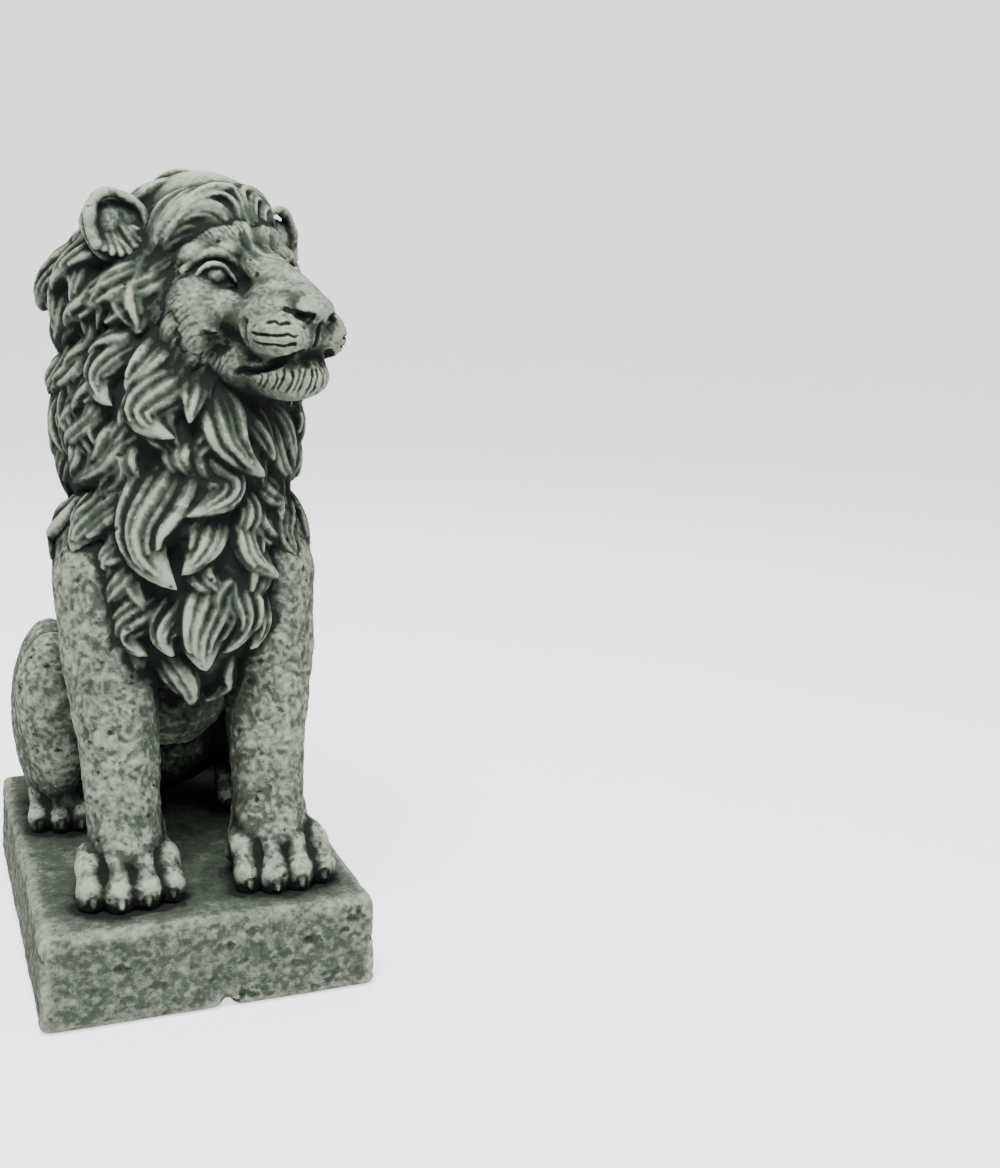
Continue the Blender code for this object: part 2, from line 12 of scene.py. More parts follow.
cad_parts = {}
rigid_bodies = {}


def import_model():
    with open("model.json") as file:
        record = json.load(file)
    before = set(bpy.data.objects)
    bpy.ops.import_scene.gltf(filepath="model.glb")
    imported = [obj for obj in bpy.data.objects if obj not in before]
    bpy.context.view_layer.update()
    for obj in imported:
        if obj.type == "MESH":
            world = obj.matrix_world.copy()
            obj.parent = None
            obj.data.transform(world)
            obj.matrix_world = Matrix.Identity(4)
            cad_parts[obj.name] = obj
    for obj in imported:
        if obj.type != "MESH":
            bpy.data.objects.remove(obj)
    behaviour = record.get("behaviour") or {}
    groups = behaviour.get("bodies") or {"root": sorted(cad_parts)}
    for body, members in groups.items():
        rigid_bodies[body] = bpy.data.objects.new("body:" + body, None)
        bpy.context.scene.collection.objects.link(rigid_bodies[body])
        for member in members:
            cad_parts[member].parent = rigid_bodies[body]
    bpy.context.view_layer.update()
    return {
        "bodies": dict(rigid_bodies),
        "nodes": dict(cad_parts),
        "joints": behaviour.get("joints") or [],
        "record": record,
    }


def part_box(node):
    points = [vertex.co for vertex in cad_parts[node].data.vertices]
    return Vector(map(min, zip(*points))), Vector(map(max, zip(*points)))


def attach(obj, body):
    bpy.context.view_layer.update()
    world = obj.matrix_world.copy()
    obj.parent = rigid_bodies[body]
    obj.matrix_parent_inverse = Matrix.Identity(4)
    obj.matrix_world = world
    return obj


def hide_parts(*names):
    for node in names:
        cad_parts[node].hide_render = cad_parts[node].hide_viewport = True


# Weathered stone lion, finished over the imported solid.
# The figure is worked in its own unit, a centimetre at this size, standing on the plinth.
# It looks along -Y with its head turned to its left, +X.

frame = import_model()
statueNode = "stone_lion_statue"
boxLow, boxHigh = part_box(statueNode)

plinth = {
    "height": 0.075,
    "draft": 0.002,        # each side leans out by this much towards the foot
    "edge": 0.007,         # worn rounding of the top edge
    "grain": 0.0019,       # voxel size
    "roughness": 0.0012,   # how far the sides stand in and out
    "chips": 700,
    "notch": (0.010, -0.15, 0.005, 0.009, 0.007),   # front foot: across, back end, width, height, depth
    "triangles": 120000,
}

pose = {
    "unit": 0.01,
    "headPlace": (5.5, -8.5, 47.1),   # the point midway between the eyes
    "headTurn": 27.0,
    "headNod": -2.0,
    "headTilt": 1.5,
}

seed = 7


def say(text):
    print("stage:", text, flush=True)


# Working the clay

def headFrame():
    turn = Matrix.Rotation(math.radians(pose["headTurn"]), 4, "Z")
    nod = Matrix.Rotation(math.radians(pose["headNod"]), 4, "X")
    tilt = Matrix.Rotation(math.radians(pose["headTilt"]), 4, "Y")
    return Matrix.Translation(pose["headPlace"]) @ turn @ nod @ tilt


def rotated(turns):
    matrix = Matrix.Identity(4)
    for angle, axis in zip(turns, "XYZ"):
        matrix = Matrix.Rotation(math.radians(angle), 4, axis) @ matrix
    return matrix


def ball(clay, centre, radii, turns=(0, 0, 0), place=None, facets=28):
    shape = Matrix.Translation(centre) @ rotated(turns) @ Matrix.Diagonal((*radii, 1))
    bmesh.ops.create_uvsphere(
        clay,
        u_segments=facets,
        v_segments=facets // 2 + 2,
        radius=1,
        matrix=(place or Matrix.Identity(4)) @ shape,
    )


# a Catmull-Rom curve through points of any width
def smoothLine(points, count):
    p = np.array(points, float)
    p = np.vstack([2 * p[0] - p[1], p, 2 * p[-1] - p[-2]])
    out = []
    for s in np.linspace(0, len(points) - 1 - 1e-9, count):
        i = int(s)
        t = s - i
        a, b, c, d = p[i:i + 4]
        straight = 2 * b + (c - a) * t
        curved = (2 * a - 5 * b + 4 * c - d) * t * t + (3 * b - a - 3 * c + d) * t ** 3
        out.append(0.5 * (straight + curved))
    return np.array(out)


# a tapered roll through (x, y, z, radius), with round ends
def roll(clay, stations, place=None, steps=8, sides=16):
    line = smoothLine(stations, (len(stations) - 1) * steps + 1)
    place = place or Matrix.Identity(4)
    rings = []
    side = None
    for i, (x, y, z, r) in enumerate(line):
        ahead = line[min(i + 1, len(line) - 1)][:3] - line[max(i - 1, 0)][:3]
        axis = Vector(ahead).normalized()
        if side is None:
            side = axis.orthogonal().normalized()
        side = (side - axis * side.dot(axis)).normalized()
        other = axis.cross(side)
        ring = []
        for k in range(sides):
            a = 2 * math.pi * k / sides
            offset = (side * math.cos(a) + other * math.sin(a)) * r
            ring.append(clay.verts.new(place @ (Vector((x, y, z)) + offset)))
        rings.append(ring)
    for low, high in zip(rings, rings[1:]):
        for k in range(sides):
            n = (k + 1) % sides
            clay.faces.new((low[k], low[n], high[n], high[k]))
    clay.faces.new(list(reversed(rings[0])))
    clay.faces.new(rings[-1])
    for x, y, z, r in (line[0], line[-1]):
        ball(clay, (x, y, z), (r, r, r), place=place, facets=sides)


def both(build):
    for side in (1, -1):
        build(side)


def asMesh(clay, name):
    mesh = bpy.data.meshes.new(name)
    clay.to_mesh(mesh)
    clay.free()
    return mesh


def newObject(name, data):
    obj = bpy.data.objects.new(name, data)
    bpy.context.scene.collection.objects.link(obj)
    return obj


# the object's mesh with its modifiers applied; the object itself goes
def settled(obj):
    graph = bpy.context.evaluated_depsgraph_get()
    mesh = bpy.data.meshes.new_from_object(obj.evaluated_get(graph))
    bpy.data.objects.remove(obj)
    return mesh


# one skin round all the shells, softened over a distance
def fused(mesh, grain, softening):
    obj = newObject("clay", mesh)
    skin = obj.modifiers.new("Skin", "REMESH")
    skin.mode = "VOXEL"
    skin.voxel_size = grain
    if softening > 0:
        soft = obj.modifiers.new("Soften", "SMOOTH")
        soft.factor = 0.5
        soft.iterations = max(1, round(2 * (softening / grain) ** 2))
    return settled(obj)


def thinned(mesh, triangles):
    mesh.calc_loop_triangles()
    count = len(mesh.loop_triangles)
    if count <= triangles:
        return mesh
    obj = newObject("thin", mesh)
    thin = obj.modifiers.new("Thin", "DECIMATE")
    thin.ratio = triangles / count
    thin.use_collapse_triangulate = True
    return settled(obj)


def surfaceOf(mesh):
    clay = bmesh.new()
    clay.from_mesh(mesh)
    surface = BVHTree.FromBMesh(clay)
    clay.free()
    return surface


def pointsOf(mesh):
    co = np.empty(len(mesh.vertices) * 3)
    mesh.vertices.foreach_get("co", co)
    return co.reshape(-1, 3)


def normalsOf(mesh):
    normals = np.empty(len(mesh.vertices) * 3)
    mesh.vertex_normals.foreach_get("vector", normals)
    return normals.reshape(-1, 3)


def setPoints(mesh, co):
    mesh.vertices.foreach_set("co", co.ravel())
    mesh.update()


# presses a groove along a line
def stroke(mesh, line, radius, depth, sharp, count=24):
    points = np.array([Vector(p) for p in smoothLine(line, count)])
    co = pointsOf(mesh)
    near = np.all((co > points.min(0) - radius) & (co < points.max(0) + radius), axis=1)
    index = np.nonzero(near)[0]
    if not len(index):
        return
    here = co[index]
    best = np.full(len(index), np.inf)
    where = np.zeros(len(index))
    for i, (a, b) in enumerate(zip(points, points[1:])):
        run = b - a
        t = np.clip((here - a) @ run / max(run @ run, 1e-12), 0, 1)
        gap = np.linalg.norm(here - a - t[:, None] * run, axis=1)
        nearer = gap < best
        best[nearer] = gap[nearer]
        where[nearer] = (i + t[nearer]) / (count - 1)
    fade = np.clip(np.minimum(where, 1 - where) * 6 + 0.25, 0, 1)   # shallow at both ends
    weight = np.clip(1 - (best / radius) ** 2, 0, 1) ** sharp * fade
    co[index] -= normalsOf(mesh)[index] * (weight * depth)[:, None]
    setPoints(mesh, co)


# smooth value noise from -1 to 1 at points, with cells of a size
def noiseAt(points, size, salt=0):
    p = points / size + 100.0
    cell = np.floor(p).astype(np.int64)
    t = p - cell
    t = t * t * (3 - 2 * t)
    total = np.zeros(len(points))
    for dx in (0, 1):
        for dy in (0, 1):
            for dz in (0, 1):
                i = cell + (dx, dy, dz)
                h = (i[:, 0] * 73856093) ^ (i[:, 1] * 19349663) ^ (i[:, 2] * 83492791) ^ (salt * 2654435761)
                h = (h ^ (h >> 13)) * 1274126177 & 0x7FFFFFFF
                value = (h ^ (h >> 16)) % 65536 / 32768.0 - 1.0
                wx = t[:, 0] if dx else 1 - t[:, 0]
                wy = t[:, 1] if dy else 1 - t[:, 1]
                wz = t[:, 2] if dz else 1 - t[:, 2]
                total += value * wx * wy * wz
    return total


# average of each vertex's neighbours, repeated
def relaxed(mesh, values, rounds):
    edges = np.empty(len(mesh.edges) * 2, np.int64)
    mesh.edges.foreach_get("vertices", edges)
    a, b = edges.reshape(-1, 2).T
    count = np.bincount(a, minlength=len(values)) + np.bincount(b, minlength=len(values))
    count = np.maximum(count, 1)
    values = values.copy()
    for _ in range(rounds):
        total = np.zeros_like(values)
        for k in range(values.shape[1]):
            total[:, k] = np.bincount(a, values[b, k], len(values))
            total[:, k] += np.bincount(b, values[a, k], len(values))
        values = 0.4 * values + 0.6 * total / count[:, None]
    return values


def treeOf(points):
    tree = KDTree(len(points))
    for i, point in enumerate(points.tolist()):
        tree.insert(point, i)
    tree.balance()
    return tree


# Masses of the figure

def addBody(clay):
    ball(clay, (0.4, -2.4, 23.5), (8.3, 6.8, 10.0), (-8, 0, 0))    # ribs
    ball(clay, (0.3, 6.0, 16.0), (7.0, 7.8, 10.0), (-32, 0, 0))    # loin
    ball(clay, (0.0, 10.5, 8.0), (8.3, 6.6, 7.8))                  # rump
    ball(clay, (0.4, 3.0, 27.0), (7.0, 7.0, 10.0), (-20, 0, 0))    # withers
    back = [(0.4, 5.6, 26.0, 5.6), (0.2, 8.6, 19.0, 6.6), (0.0, 10.2, 12.0, 6.9), (0.0, 10.6, 7.5, 6.6)]
    roll(clay, back, sides=24)
    both(lambda s: ball(clay, (0.4 + 6.2 * s, -4.6, 23.5), (3.9, 4.8, 7.6), (6, 0, 0)))   # shoulders


def addForeleg(clay, s):
    x = 0.4
    front = [
        (x + 6.1 * s, -6.3, 24.0, 4.1),
        (x + 6.1 * s, -7.6, 17.5, 3.7),
        (x + 5.8 * s, -9.0, 11.0, 3.1),
        (x + 5.7 * s, -10.0, 6.0, 2.85),
        (x + 5.8 * s, -11.2, 2.8, 2.9),
    ]
    back = [
        (x + 6.0 * s, -4.0, 23.0, 3.6),
        (x + 5.9 * s, -4.6, 16.5, 3.0),
        (x + 5.4 * s, -6.8, 10.0, 2.3),
        (x + 5.2 * s, -8.2, 5.0, 2.1),
    ]
    roll(clay, front, sides=24)
    roll(clay, back, sides=20)


def addHindLeg(clay, s):
    x = 8.6 * s
    ball(clay, (x, 8.2, 8.8), (3.5, 7.6, 8.4), (-14, 0, 0))          # thigh
    ball(clay, (x + 0.2 * s, 4.2, 11.4), (3.3, 3.9, 5.8), (8, 0, 0))   # knee
    roll(clay, [(x, 5.6, 9.0, 3.1), (x - 0.1 * s, 6.6, 4.6, 2.3), (x - 0.2 * s, 7.6, 1.6, 1.9)])
    roll(clay, [(x, 11.0, 1.8, 1.9), (x - 0.2 * s, 6.5, 1.7, 1.9), (x - 0.4 * s, 4.0, 1.6, 2.1)])


def addTail(clay):
    around = [(1.0, 16.0, 5.0, 1.4), (4.5, 16.6, 2.2, 1.25), (8.6, 15.4, 1.1, 1.1), (10.9, 11.8, 1.0, 1.0)]
    tuft = [(10.9, 11.8, 1.0, 1.0), (11.2, 9.6, 1.1, 1.35), (11.0, 7.4, 0.9, 1.05), (10.8, 5.6, 0.6, 0.4)]
    roll(clay, around, sides=16)
    roll(clay, tuft, sides=16)


def addManeMasses(clay):
    ball(clay, (0.7, -1.6, 35.0), (9.3, 9.4, 12.0), (-6, 0, 0))     # neck
    ball(clay, (0.2, -6.8, 26.0), (7.2, 5.4, 11.2), (-8, 0, 0))     # chest
    ball(clay, (0.9, 4.0, 34.0), (7.8, 6.2, 12.5), (-16, 0, 0))     # back of the neck
    ball(clay, (1.6, -0.6, 43.5), (9.6, 8.2, 8.6))                  # ruff
    head = headFrame()
    ball(clay, (-0.4, 6.0, 2.3), (5.4, 5.6, 5.4), (0, 8, 0), head)    # crest
    ball(clay, (0, 5.0, -7.0), (6.6, 5.6, 7.0), place=head)           # throat


def addHeadMasses(clay):
    head = headFrame()
    bridge = [(0, 1.4, 0.5, 2.3), (0, -1.6, -0.75, 1.95), (0, -4.2, -1.9, 1.8), (0, -5.8, -2.75, 1.6)]
    ball(clay, (0, 4.2, -0.3), (5.6, 5.0, 4.7), place=head)            # skull
    ball(clay, (0, 2.2, 1.9), (4.2, 2.6, 2.2), (-25, 0, 0), head)      # forehead
    roll(clay, bridge, head)
    ball(clay, (0, -1.9, -2.6), (3.0, 4.2, 2.0), (-20, 0, 0), head)    # sides of the nose
    ball(clay, (0, -3.2, -4.2), (3.3, 3.6, 2.4), place=head)           # muzzle
    ball(clay, (0, -3.0, -7.4), (2.9, 4.0, 2.0), (4, 0, 0), head)      # chin
    ball(clay, (0, 1.2, -6.2), (4.4, 4.4, 3.2), place=head)            # jaw

    def side(s):
        ball(clay, (2.3 * s, 0.9, 1.3), (1.6, 1.3, 1.0), (-20, 10 * s, 10 * s), head)    # inner brow
        ball(clay, (4.0 * s, 2.1, 1.1), (1.5, 1.3, 1.1), (-10, 20 * s, 30 * s), head)    # outer brow
        ball(clay, (4.1 * s, 2.6, -3.8), (2.4, 3.5, 4.0), place=head)                    # cheek
        ball(clay, (3.8 * s, 0.9, -2.9), (1.8, 3.3, 1.6), (-6, -14 * s, -14 * s), head)  # cheekbone
        ball(clay, (1.95 * s, -4.3, -4.4), (2.15, 2.9, 2.0), (6, 0, -8 * s), head)       # lip pad
        ball(clay, (1.9 * s, -3.0, -3.3), (1.9, 3.2, 1.7), (-10, 0, -8 * s), head)       # above the pad

    both(side)


# Face

face = {
    "grain": 0.10,
    "triangles": 185000,
    "eye": (3.45, 0.75, -0.4),
    "eyeRadius": 0.98,
    "eyeProud": 0.52,          # how far the eyeball stands out of the skin
    "ear": (7.9, 6.3, 3.2),
    "wear": (0.045, 0.030, 90),    # slow unevenness, fine roughness and number of dents
}


# a line in the head's own units, mirrored by s, laid on the skin and pressed into it
def faceStroke(mesh, surface, line, radius, depth, s=1, sharp=2.0):
    head = headFrame()
    points = [head @ Vector((x * s, y, z)) for x, y, z in smoothLine(line, len(line) * 3)]
    laid = [surface.find_nearest(point)[0] for point in points]
    stroke(mesh, laid, radius, depth, sharp)


# round cup open forwards, with a rolled rim and tufts inside
def addEar(clay, s):
    head = headFrame()
    x, y, z = face["ear"]
    centre = Vector((x * s, y, z))
    facing = Matrix.Rotation(math.radians(24 * s), 4, "Z") @ Matrix.Rotation(math.radians(-14), 4, "X")
    rim = []
    for k in range(14):
        a = math.radians(-10 + 230 * k / 13)
        wave = 1 + 0.05 * math.sin(3 * a + 1)
        local = Vector((-s * math.cos(a) * 2.1 * wave, 0.2 * math.sin(2 * a), math.sin(a) * 2.35 * wave))
        thick = 0.36 + 0.16 * max(0.0, -math.cos(a)) + 0.05 * math.sin(7 * a)
        rim.append((*(centre + (facing @ local)), thick))
    roll(clay, rim, head, steps=3, sides=12)
    for x, y, z, wide in ((-0.2, 1.15, -0.2, 2.6), (-1.8, 1.15, -0.9, 1.9), (1.0, 0.85, 0.2, 1.7)):
        back = centre + (facing @ Vector((x * s, y, z)))
        ball(clay, back, (wide, 0.95, wide), (-14, 0, 24 * s), head)
    for k in range(9):
        a = math.radians(195 + 18 * k)
        foot = centre + (facing @ Vector((s * math.cos(a) * 2.0, 0.2, math.sin(a) * 2.2)))
        tip = centre + (facing @ Vector((s * (0.24 * (k - 4) + 0.5), 0.6, 0.2 + 0.45 * (k % 3))))
        middle = (foot + tip) / 2 + (facing @ Vector((0.25 * s, -0.1, 0)))
        roll(clay, [(*foot, 0.34), (*middle, 0.27), (*tip, 0.07)], head, steps=4, sides=8)


def carveSockets(mesh, surface):
    def side(s):
        def press(line, radius, depth):
            faceStroke(mesh, surface, line, radius, depth, s)

        press([(2.2, -0.8, -1.2), (2.35, -0.6, -0.5), (2.7, -0.3, 0.2)], 0.8, 0.22)    # eye
        press([(1.9, -1.8, -1.7), (2.2, -1.3, -1.1), (2.5, -0.8, -0.6)], 0.7, 0.15)    # its corner
        press([(4.5, -0.6, -4.5), (4.6, -0.4, -5.3), (4.2, -0.8, -6.2)], 1.5, 0.5)     # jaw's hollow
        press([(3.4, -3.2, -3.4), (4.0, -3.0, -4.4), (3.9, -2.8, -5.6)], 0.7, 0.3)     # behind the pad
        mouth = [(0.9, -6.8, -6.2), (1.8, -6.3, -6.4), (2.7, -4.8, -6.7), (3.1, -3, -7.1), (3.2, -1.6, -7.4)]
        press(mouth, 0.45, 0.7)

    both(side)


# an eyeball set into the skin, and lids round it
def addEye(clay, surface, s):
    head = headFrame()
    r = face["eyeRadius"]
    proud = face["eyeProud"]
    x, y, z = face["eye"]
    hit, normal = surface.find_nearest(head @ Vector((x * s, y, z)))[:2]
    normal = (normal + head.to_3x3() @ Vector((0.5 * s, -0.7, 0.1))).normalized()
    up = head.to_3x3() @ Vector((0, 0, 1))
    up = (up - normal * up.dot(normal)).normalized()
    out = up.cross(normal).normalized() * -s
    if out.dot(head.to_3x3() @ Vector((s, 0, 0))) < 0:
        out = -out
    ball(clay, hit - normal * (r - proud), (r, r, r), facets=32)

    def lid(line):
        stations = []
        for x, y, raised, radius in line:
            stations.append((*(hit + out * x + up * y + normal * raised), radius))
        roll(clay, stations, steps=5, sides=12)

    # the upper lid, the lower one, and the fold above them
    lid([(1.55, -0.35, -0.15, 0.14), (1.05, 0.32, 0.22, 0.22), (0.3, 0.68, 0.48, 0.25),
         (-0.5, 0.60, 0.38, 0.22), (-1.1, 0.05, 0.10, 0.18), (-1.6, -0.65, -0.15, 0.12)])
    lid([(1.5, -0.45, -0.20, 0.10), (0.7, -0.80, 0.05, 0.13), (-0.3, -0.85, 0.10, 0.13),
         (-1.3, -0.75, -0.15, 0.10)])
    lid([(2.3, 0.3, -0.6, 0.3), (1.3, 1.2, -0.25, 0.45), (0.1, 1.6, -0.05, 0.55),
         (-0.9, 1.4, -0.1, 0.5), (-1.8, 0.6, -0.5, 0.35)])


def addFaceParts(clay, surface):
    ball(clay, (0, -6.2, -2.75), (1.8, 1.3, 1.3), (8, 0, 0), headFrame())    # nose
    both(lambda s: addEye(clay, surface, s))


# the fine cuts, on the finished skin of the head
def carveFace(mesh, surface):
    rng = random.Random(seed + 1)
    forehead = [(0, -1.6, 1.0), (0, 0, 2.4), (0, 1, 3.4)]
    upperLip = [(0, -7.6, -4.1), (0, -7.4, -4.9), (0, -7.0, -6.0)]
    faceStroke(mesh, surface, forehead, 0.9, 0.25)
    faceStroke(mesh, surface, upperLip, 0.26, 0.2, sharp=1.2)

    def side(s):
        def cut(line, radius, depth, sharp=1.5):
            faceStroke(mesh, surface, line, radius, depth, s, sharp)

        cut([(2.4, -0.8, -0.9), (2.0, -1.4, -1.5), (1.7, -2.0, -2.0)], 0.35, 0.12)      # tear duct
        cut([(1.4, 0.3, 2.9), (1.3, -0.6, 2.0), (1.2, -1.6, 1.0)], 0.5, 0.12)           # brow's plane
        cut([(0.7, -7.4, -3.4), (1.2, -7.0, -3.2), (1.8, -6.1, -3.1)], 0.42, 0.40)      # nostril
        cut([(1.8, -6.0, -3.1), (2.2, -5.3, -3.0)], 0.3, 0.2, 1.2)                      # behind it
        whiskers = ((-3.9, 0.2, 0.7, 0.08), (-4.6, 0.0, 1.0, 0.14), (-5.25, 0.0, 1.0, 0.11))
        for height, start, end, deep in whiskers:
            line = []
            for k in range(9):
                u = start + (end - start) * k / 8
                uneven = rng.uniform(-0.09, 0.09)
                line.append((2.2 + 1.8 * u, -6.9 + 2.7 * u ** 1.3, height + 0.1 * u + uneven))
            cut(line, 0.14, deep, 1.2)
            for k in range(1, 8, 2):
                cut(line[k - 1:k + 2], rng.uniform(0.14, 0.22), rng.uniform(0.02, 0.09), 1.2)
        a = 0.15
        while a < 3.3:    # beard
            top = -6.9 - 0.05 * a + rng.uniform(-0.25, 0.15)
            front = -6.8 + 0.28 * a * a
            lean = rng.uniform(-0.15, 0.25)
            cut([(a, front, top), (a + lean, front, top - 0.8), (a + lean / 2, front + 0.8, top - 1.8)],
                0.17, rng.uniform(0.06, 0.13), 1.2)
            a += rng.uniform(0.28, 0.5)

        for edge in faceEdge(0.42):    # short hair at the face's edge
            if edge.x * s < 1.0 or rng.random() < 0.3:
                continue
            inward = Vector((-edge.x, 0, -edge.z - 2.4)).normalized()
            fall = Vector((0, 0, rng.uniform(0.2, 0.9) if edge.z < 0 else 0.0))
            end = edge + inward * rng.uniform(0.4, 2.0) + Vector((0, -0.8, 0)) + fall
            line = [(abs(q.x), q.y, q.z) for q in (end, (edge + end) / 2 + Vector((0, 0, 0.15)), edge)]
            cut(line, rng.uniform(0.12, 0.2), rng.uniform(0.015, 0.05), 1.2)

    both(side)


def buildHead():
    clay = bmesh.new()
    addHeadMasses(clay)
    base = fused(asMesh(clay, "headMass"), 0.22, 0.55)
    carveSockets(base, surfaceOf(base))
    clay = bmesh.new()
    both(lambda s: addEar(clay, s))
    addFaceParts(clay, surfaceOf(base))
    clay.from_mesh(base)
    mesh = fused(asMesh(clay, "head"), face["grain"], 0.1)
    carveFace(mesh, surfaceOf(mesh))
    weathered(mesh, *face["wear"], 41)
    return thinned(mesh, face["triangles"])


# Paws, worked crisply over the legs

body = {
    "grain": 0.16,
    "softening": 0.14,
    "triangles": 190000,
    "forePaw": (5.9, -11.6, 7.6, 6.6),    # across from the middle, forwards, width and length
    "hindPaw": (8.0, 5.4, 6.2, 6.4),
    "middle": 0.5,                        # the forelegs' middle stands a little to the left
    "wear": (0.09, 0.045, 1800),          # slow unevenness, fine roughness and number of dents
}


# a toe's place in its row, -1 to 1, its middle, reach, thickness and front
def toeOf(k, x, y, width, length):
    across = (k - 1.5) / 1.5
    tx = x + across * width * 0.365
    reach = length * (0.52 - 0.13 * across * across)
    thick = width * (0.155 - 0.010 * abs(across))
    return across, tx, reach, thick, y - reach * 0.88 - thick * 1.05


def addPaw(clay, x, y, width, length):
    ball(clay, (x, y + 0.7, 1.7), (width * 0.47, length * 0.50, 2.5))
    for k in range(4):
        across, tx, reach, thick, front = toeOf(k, x, y, width, length)
        lean = across * 0.25
        drop = 0.45 * abs(across)
        toe = [
            (tx - lean, y + 1.0, 3.0, thick),
            (tx, y - reach * 0.30, 3.2 - drop, thick * 1.1),
            (tx + lean * 0.5, y - reach * 0.62, 2.3 - drop * 0.5, thick * 0.95),
            (tx + lean * 0.6, y - reach * 0.88, 1.3, thick * 1.08),
            (tx + lean * 0.6, y - reach * 0.90, 0.6, thick * 0.95),
        ]
        roll(clay, toe, sides=18)
        claw = [(tx + lean * 0.6, front + 0.2, 0.95, 0.24), (tx + lean * 0.6, front - 0.14, 0.55, 0.14)]
        roll(clay, claw, sides=12)


# dark rings round the claws and cuts between the toes
def carvePaw(mesh, x, y, width, length):
    corners = ((-0.3, 0.5), (-0.28, 1.2), (0.28, 1.2), (0.3, 0.5))
    for k in range(4):
        across, tx, _, _, front = toeOf(k, x, y, width, length)
        tx += across * 0.15
        ring = [(tx + aside, front + 0.1, z) for aside, z in corners]
        stroke(mesh, ring, 0.20, 0.12, 1.2)
    for k in range(3):
        across = (k - 1) * 0.66
        tx = x + across * width * 0.365
        line = [(tx, y - length * 0.05, 3.9), (tx + across * 0.1, y - length * 0.3, 3.2),
                (tx + across * 0.2, y - length * 0.46, 1.6), (tx + across * 0.2, y - length * 0.48, 0.4)]
        stroke(mesh, line, 0.3, 0.16, 1.3)


def pawPlaces():
    places = []
    for side in (1, -1):
        x, y, width, length = body["forePaw"]
        places.append((body["middle"] + x * side, y, width, length))
        x, y, width, length = body["hindPaw"]
        places.append((x * side, y, width, length))
    return places


# wear: slow unevenness, a fine roughness, and dents where the casting had bubbles
def weathered(mesh, swell, fine, pits, salt):
    co = pointsOf(mesh)
    normals = normalsOf(mesh)
    bent = co + 0.5 * np.stack([noiseAt(co, 1.3, salt + k) for k in (5, 6, 7)], axis=1)
    height = swell * noiseAt(bent, 2.2, salt) + 0.6 * swell * noiseAt(bent, 0.9, salt + 1)
    height += fine * noiseAt(bent + 0.2 * bent[:, [1, 2, 0]], 0.34, salt + 2)
    rng = random.Random(salt)
    tree = treeOf(co)
    for _ in range(pits):
        centre = co[rng.randrange(len(co))]
        radius = 0.13 + 0.30 * rng.random() ** 4
        stretch = np.array([rng.uniform(1, 2), rng.uniform(1, 2), rng.uniform(1.2, 2.6)])
        for point, i, gap in tree.find_range(centre, radius):
            gap = np.linalg.norm((co[i] - centre) * stretch)
            if gap < radius:
                height[i] -= radius * 0.30 * (1 - (gap / radius) ** 2)
    setPoints(mesh, co + normals * height[:, None])


def buildBody():
    clay = bmesh.new()
    addBody(clay)
    both(lambda s: addForeleg(clay, s))
    both(lambda s: addHindLeg(clay, s))
    addTail(clay)
    mass = fused(asMesh(clay, "bodyMass"), 0.34, 0.75)
    clay = bmesh.new()
    for place in pawPlaces():
        addPaw(clay, *place)

    # the loose skin behind each inner toe
    def addFold(s):
        fold = []
        for across, y, z, r in ((3.7, -9.0, 7.5, 0.5), (3.2, -9.4, 4.2, 0.62), (2.6, -10.4, 1.6, 0.6)):
            fold.append((body["middle"] + across * s, y, z, r))
        roll(clay, fold, sides=12)

    both(addFold)
    clay.from_mesh(mass)
    mesh = fused(asMesh(clay, "body"), body["grain"], body["softening"])
    for place in pawPlaces():
        carvePaw(mesh, *place)
    weathered(mesh, *body["wear"], 11)
    return thinned(mesh, body["triangles"])


# Mane

mane = {
    "grain": 0.13,
    "triangles": 198000,
    "middle": (0.6, -1.0),     # seen from above; angles round it run from the front to the left
    "layers": [                # spacing, length, width, thickness and strands of the laid locks
        (2.6, 6.8, 3.2, 1.0, 3),
        (3.5, 9.8, 4.8, 1.9, 4),
    ],
    "frontWidth": 1.8,
    "bowing": 1.5,
    "fineRows": [              # behind the face's edge, spacing, length, width, thickness, bend
        (11.0, 1.7, 8.5, 2.8, 1.30, 25),
        (8.4, 1.3, 8.5, 2.2, 1.10, 20),
        (5.8, 1.0, 8.5, 1.7, 0.90, 16),
        (3.4, 0.8, 8.0, 1.3, 0.75, 12),
        (1.4, 0.65, 7.5, 1.0, 0.60, 10),
        (-0.2, 0.55, 5.5, 0.8, 0.40, 10),
    ],
    "faceEdge": [              # one half of it, in head units, from the top down
        (0.0, 0.2, 3.5),
        (1.4, 0.4, 3.5),
        (2.6, 1.1, 3.5),
        (3.6, 1.8, 3.4),
        (4.5, 2.5, 2.9),
        (5.3, 2.9, 1.2),
        (5.7, 2.9, -0.8),
        (6.2, 2.4, -2.4),
        (6.3, 1.8, -3.8),
        (5.8, 1.0, -5.5),
        (4.7, 0.5, -6.8),
        (3.6, -0.1, -7.9),
    ],
    "clear": 3.0,              # no thick laid lock springs nearer than this to a listed front lock
    "wear": (0.03, 0.012, 250),    # slow unevenness, fine roughness and number of dents
}

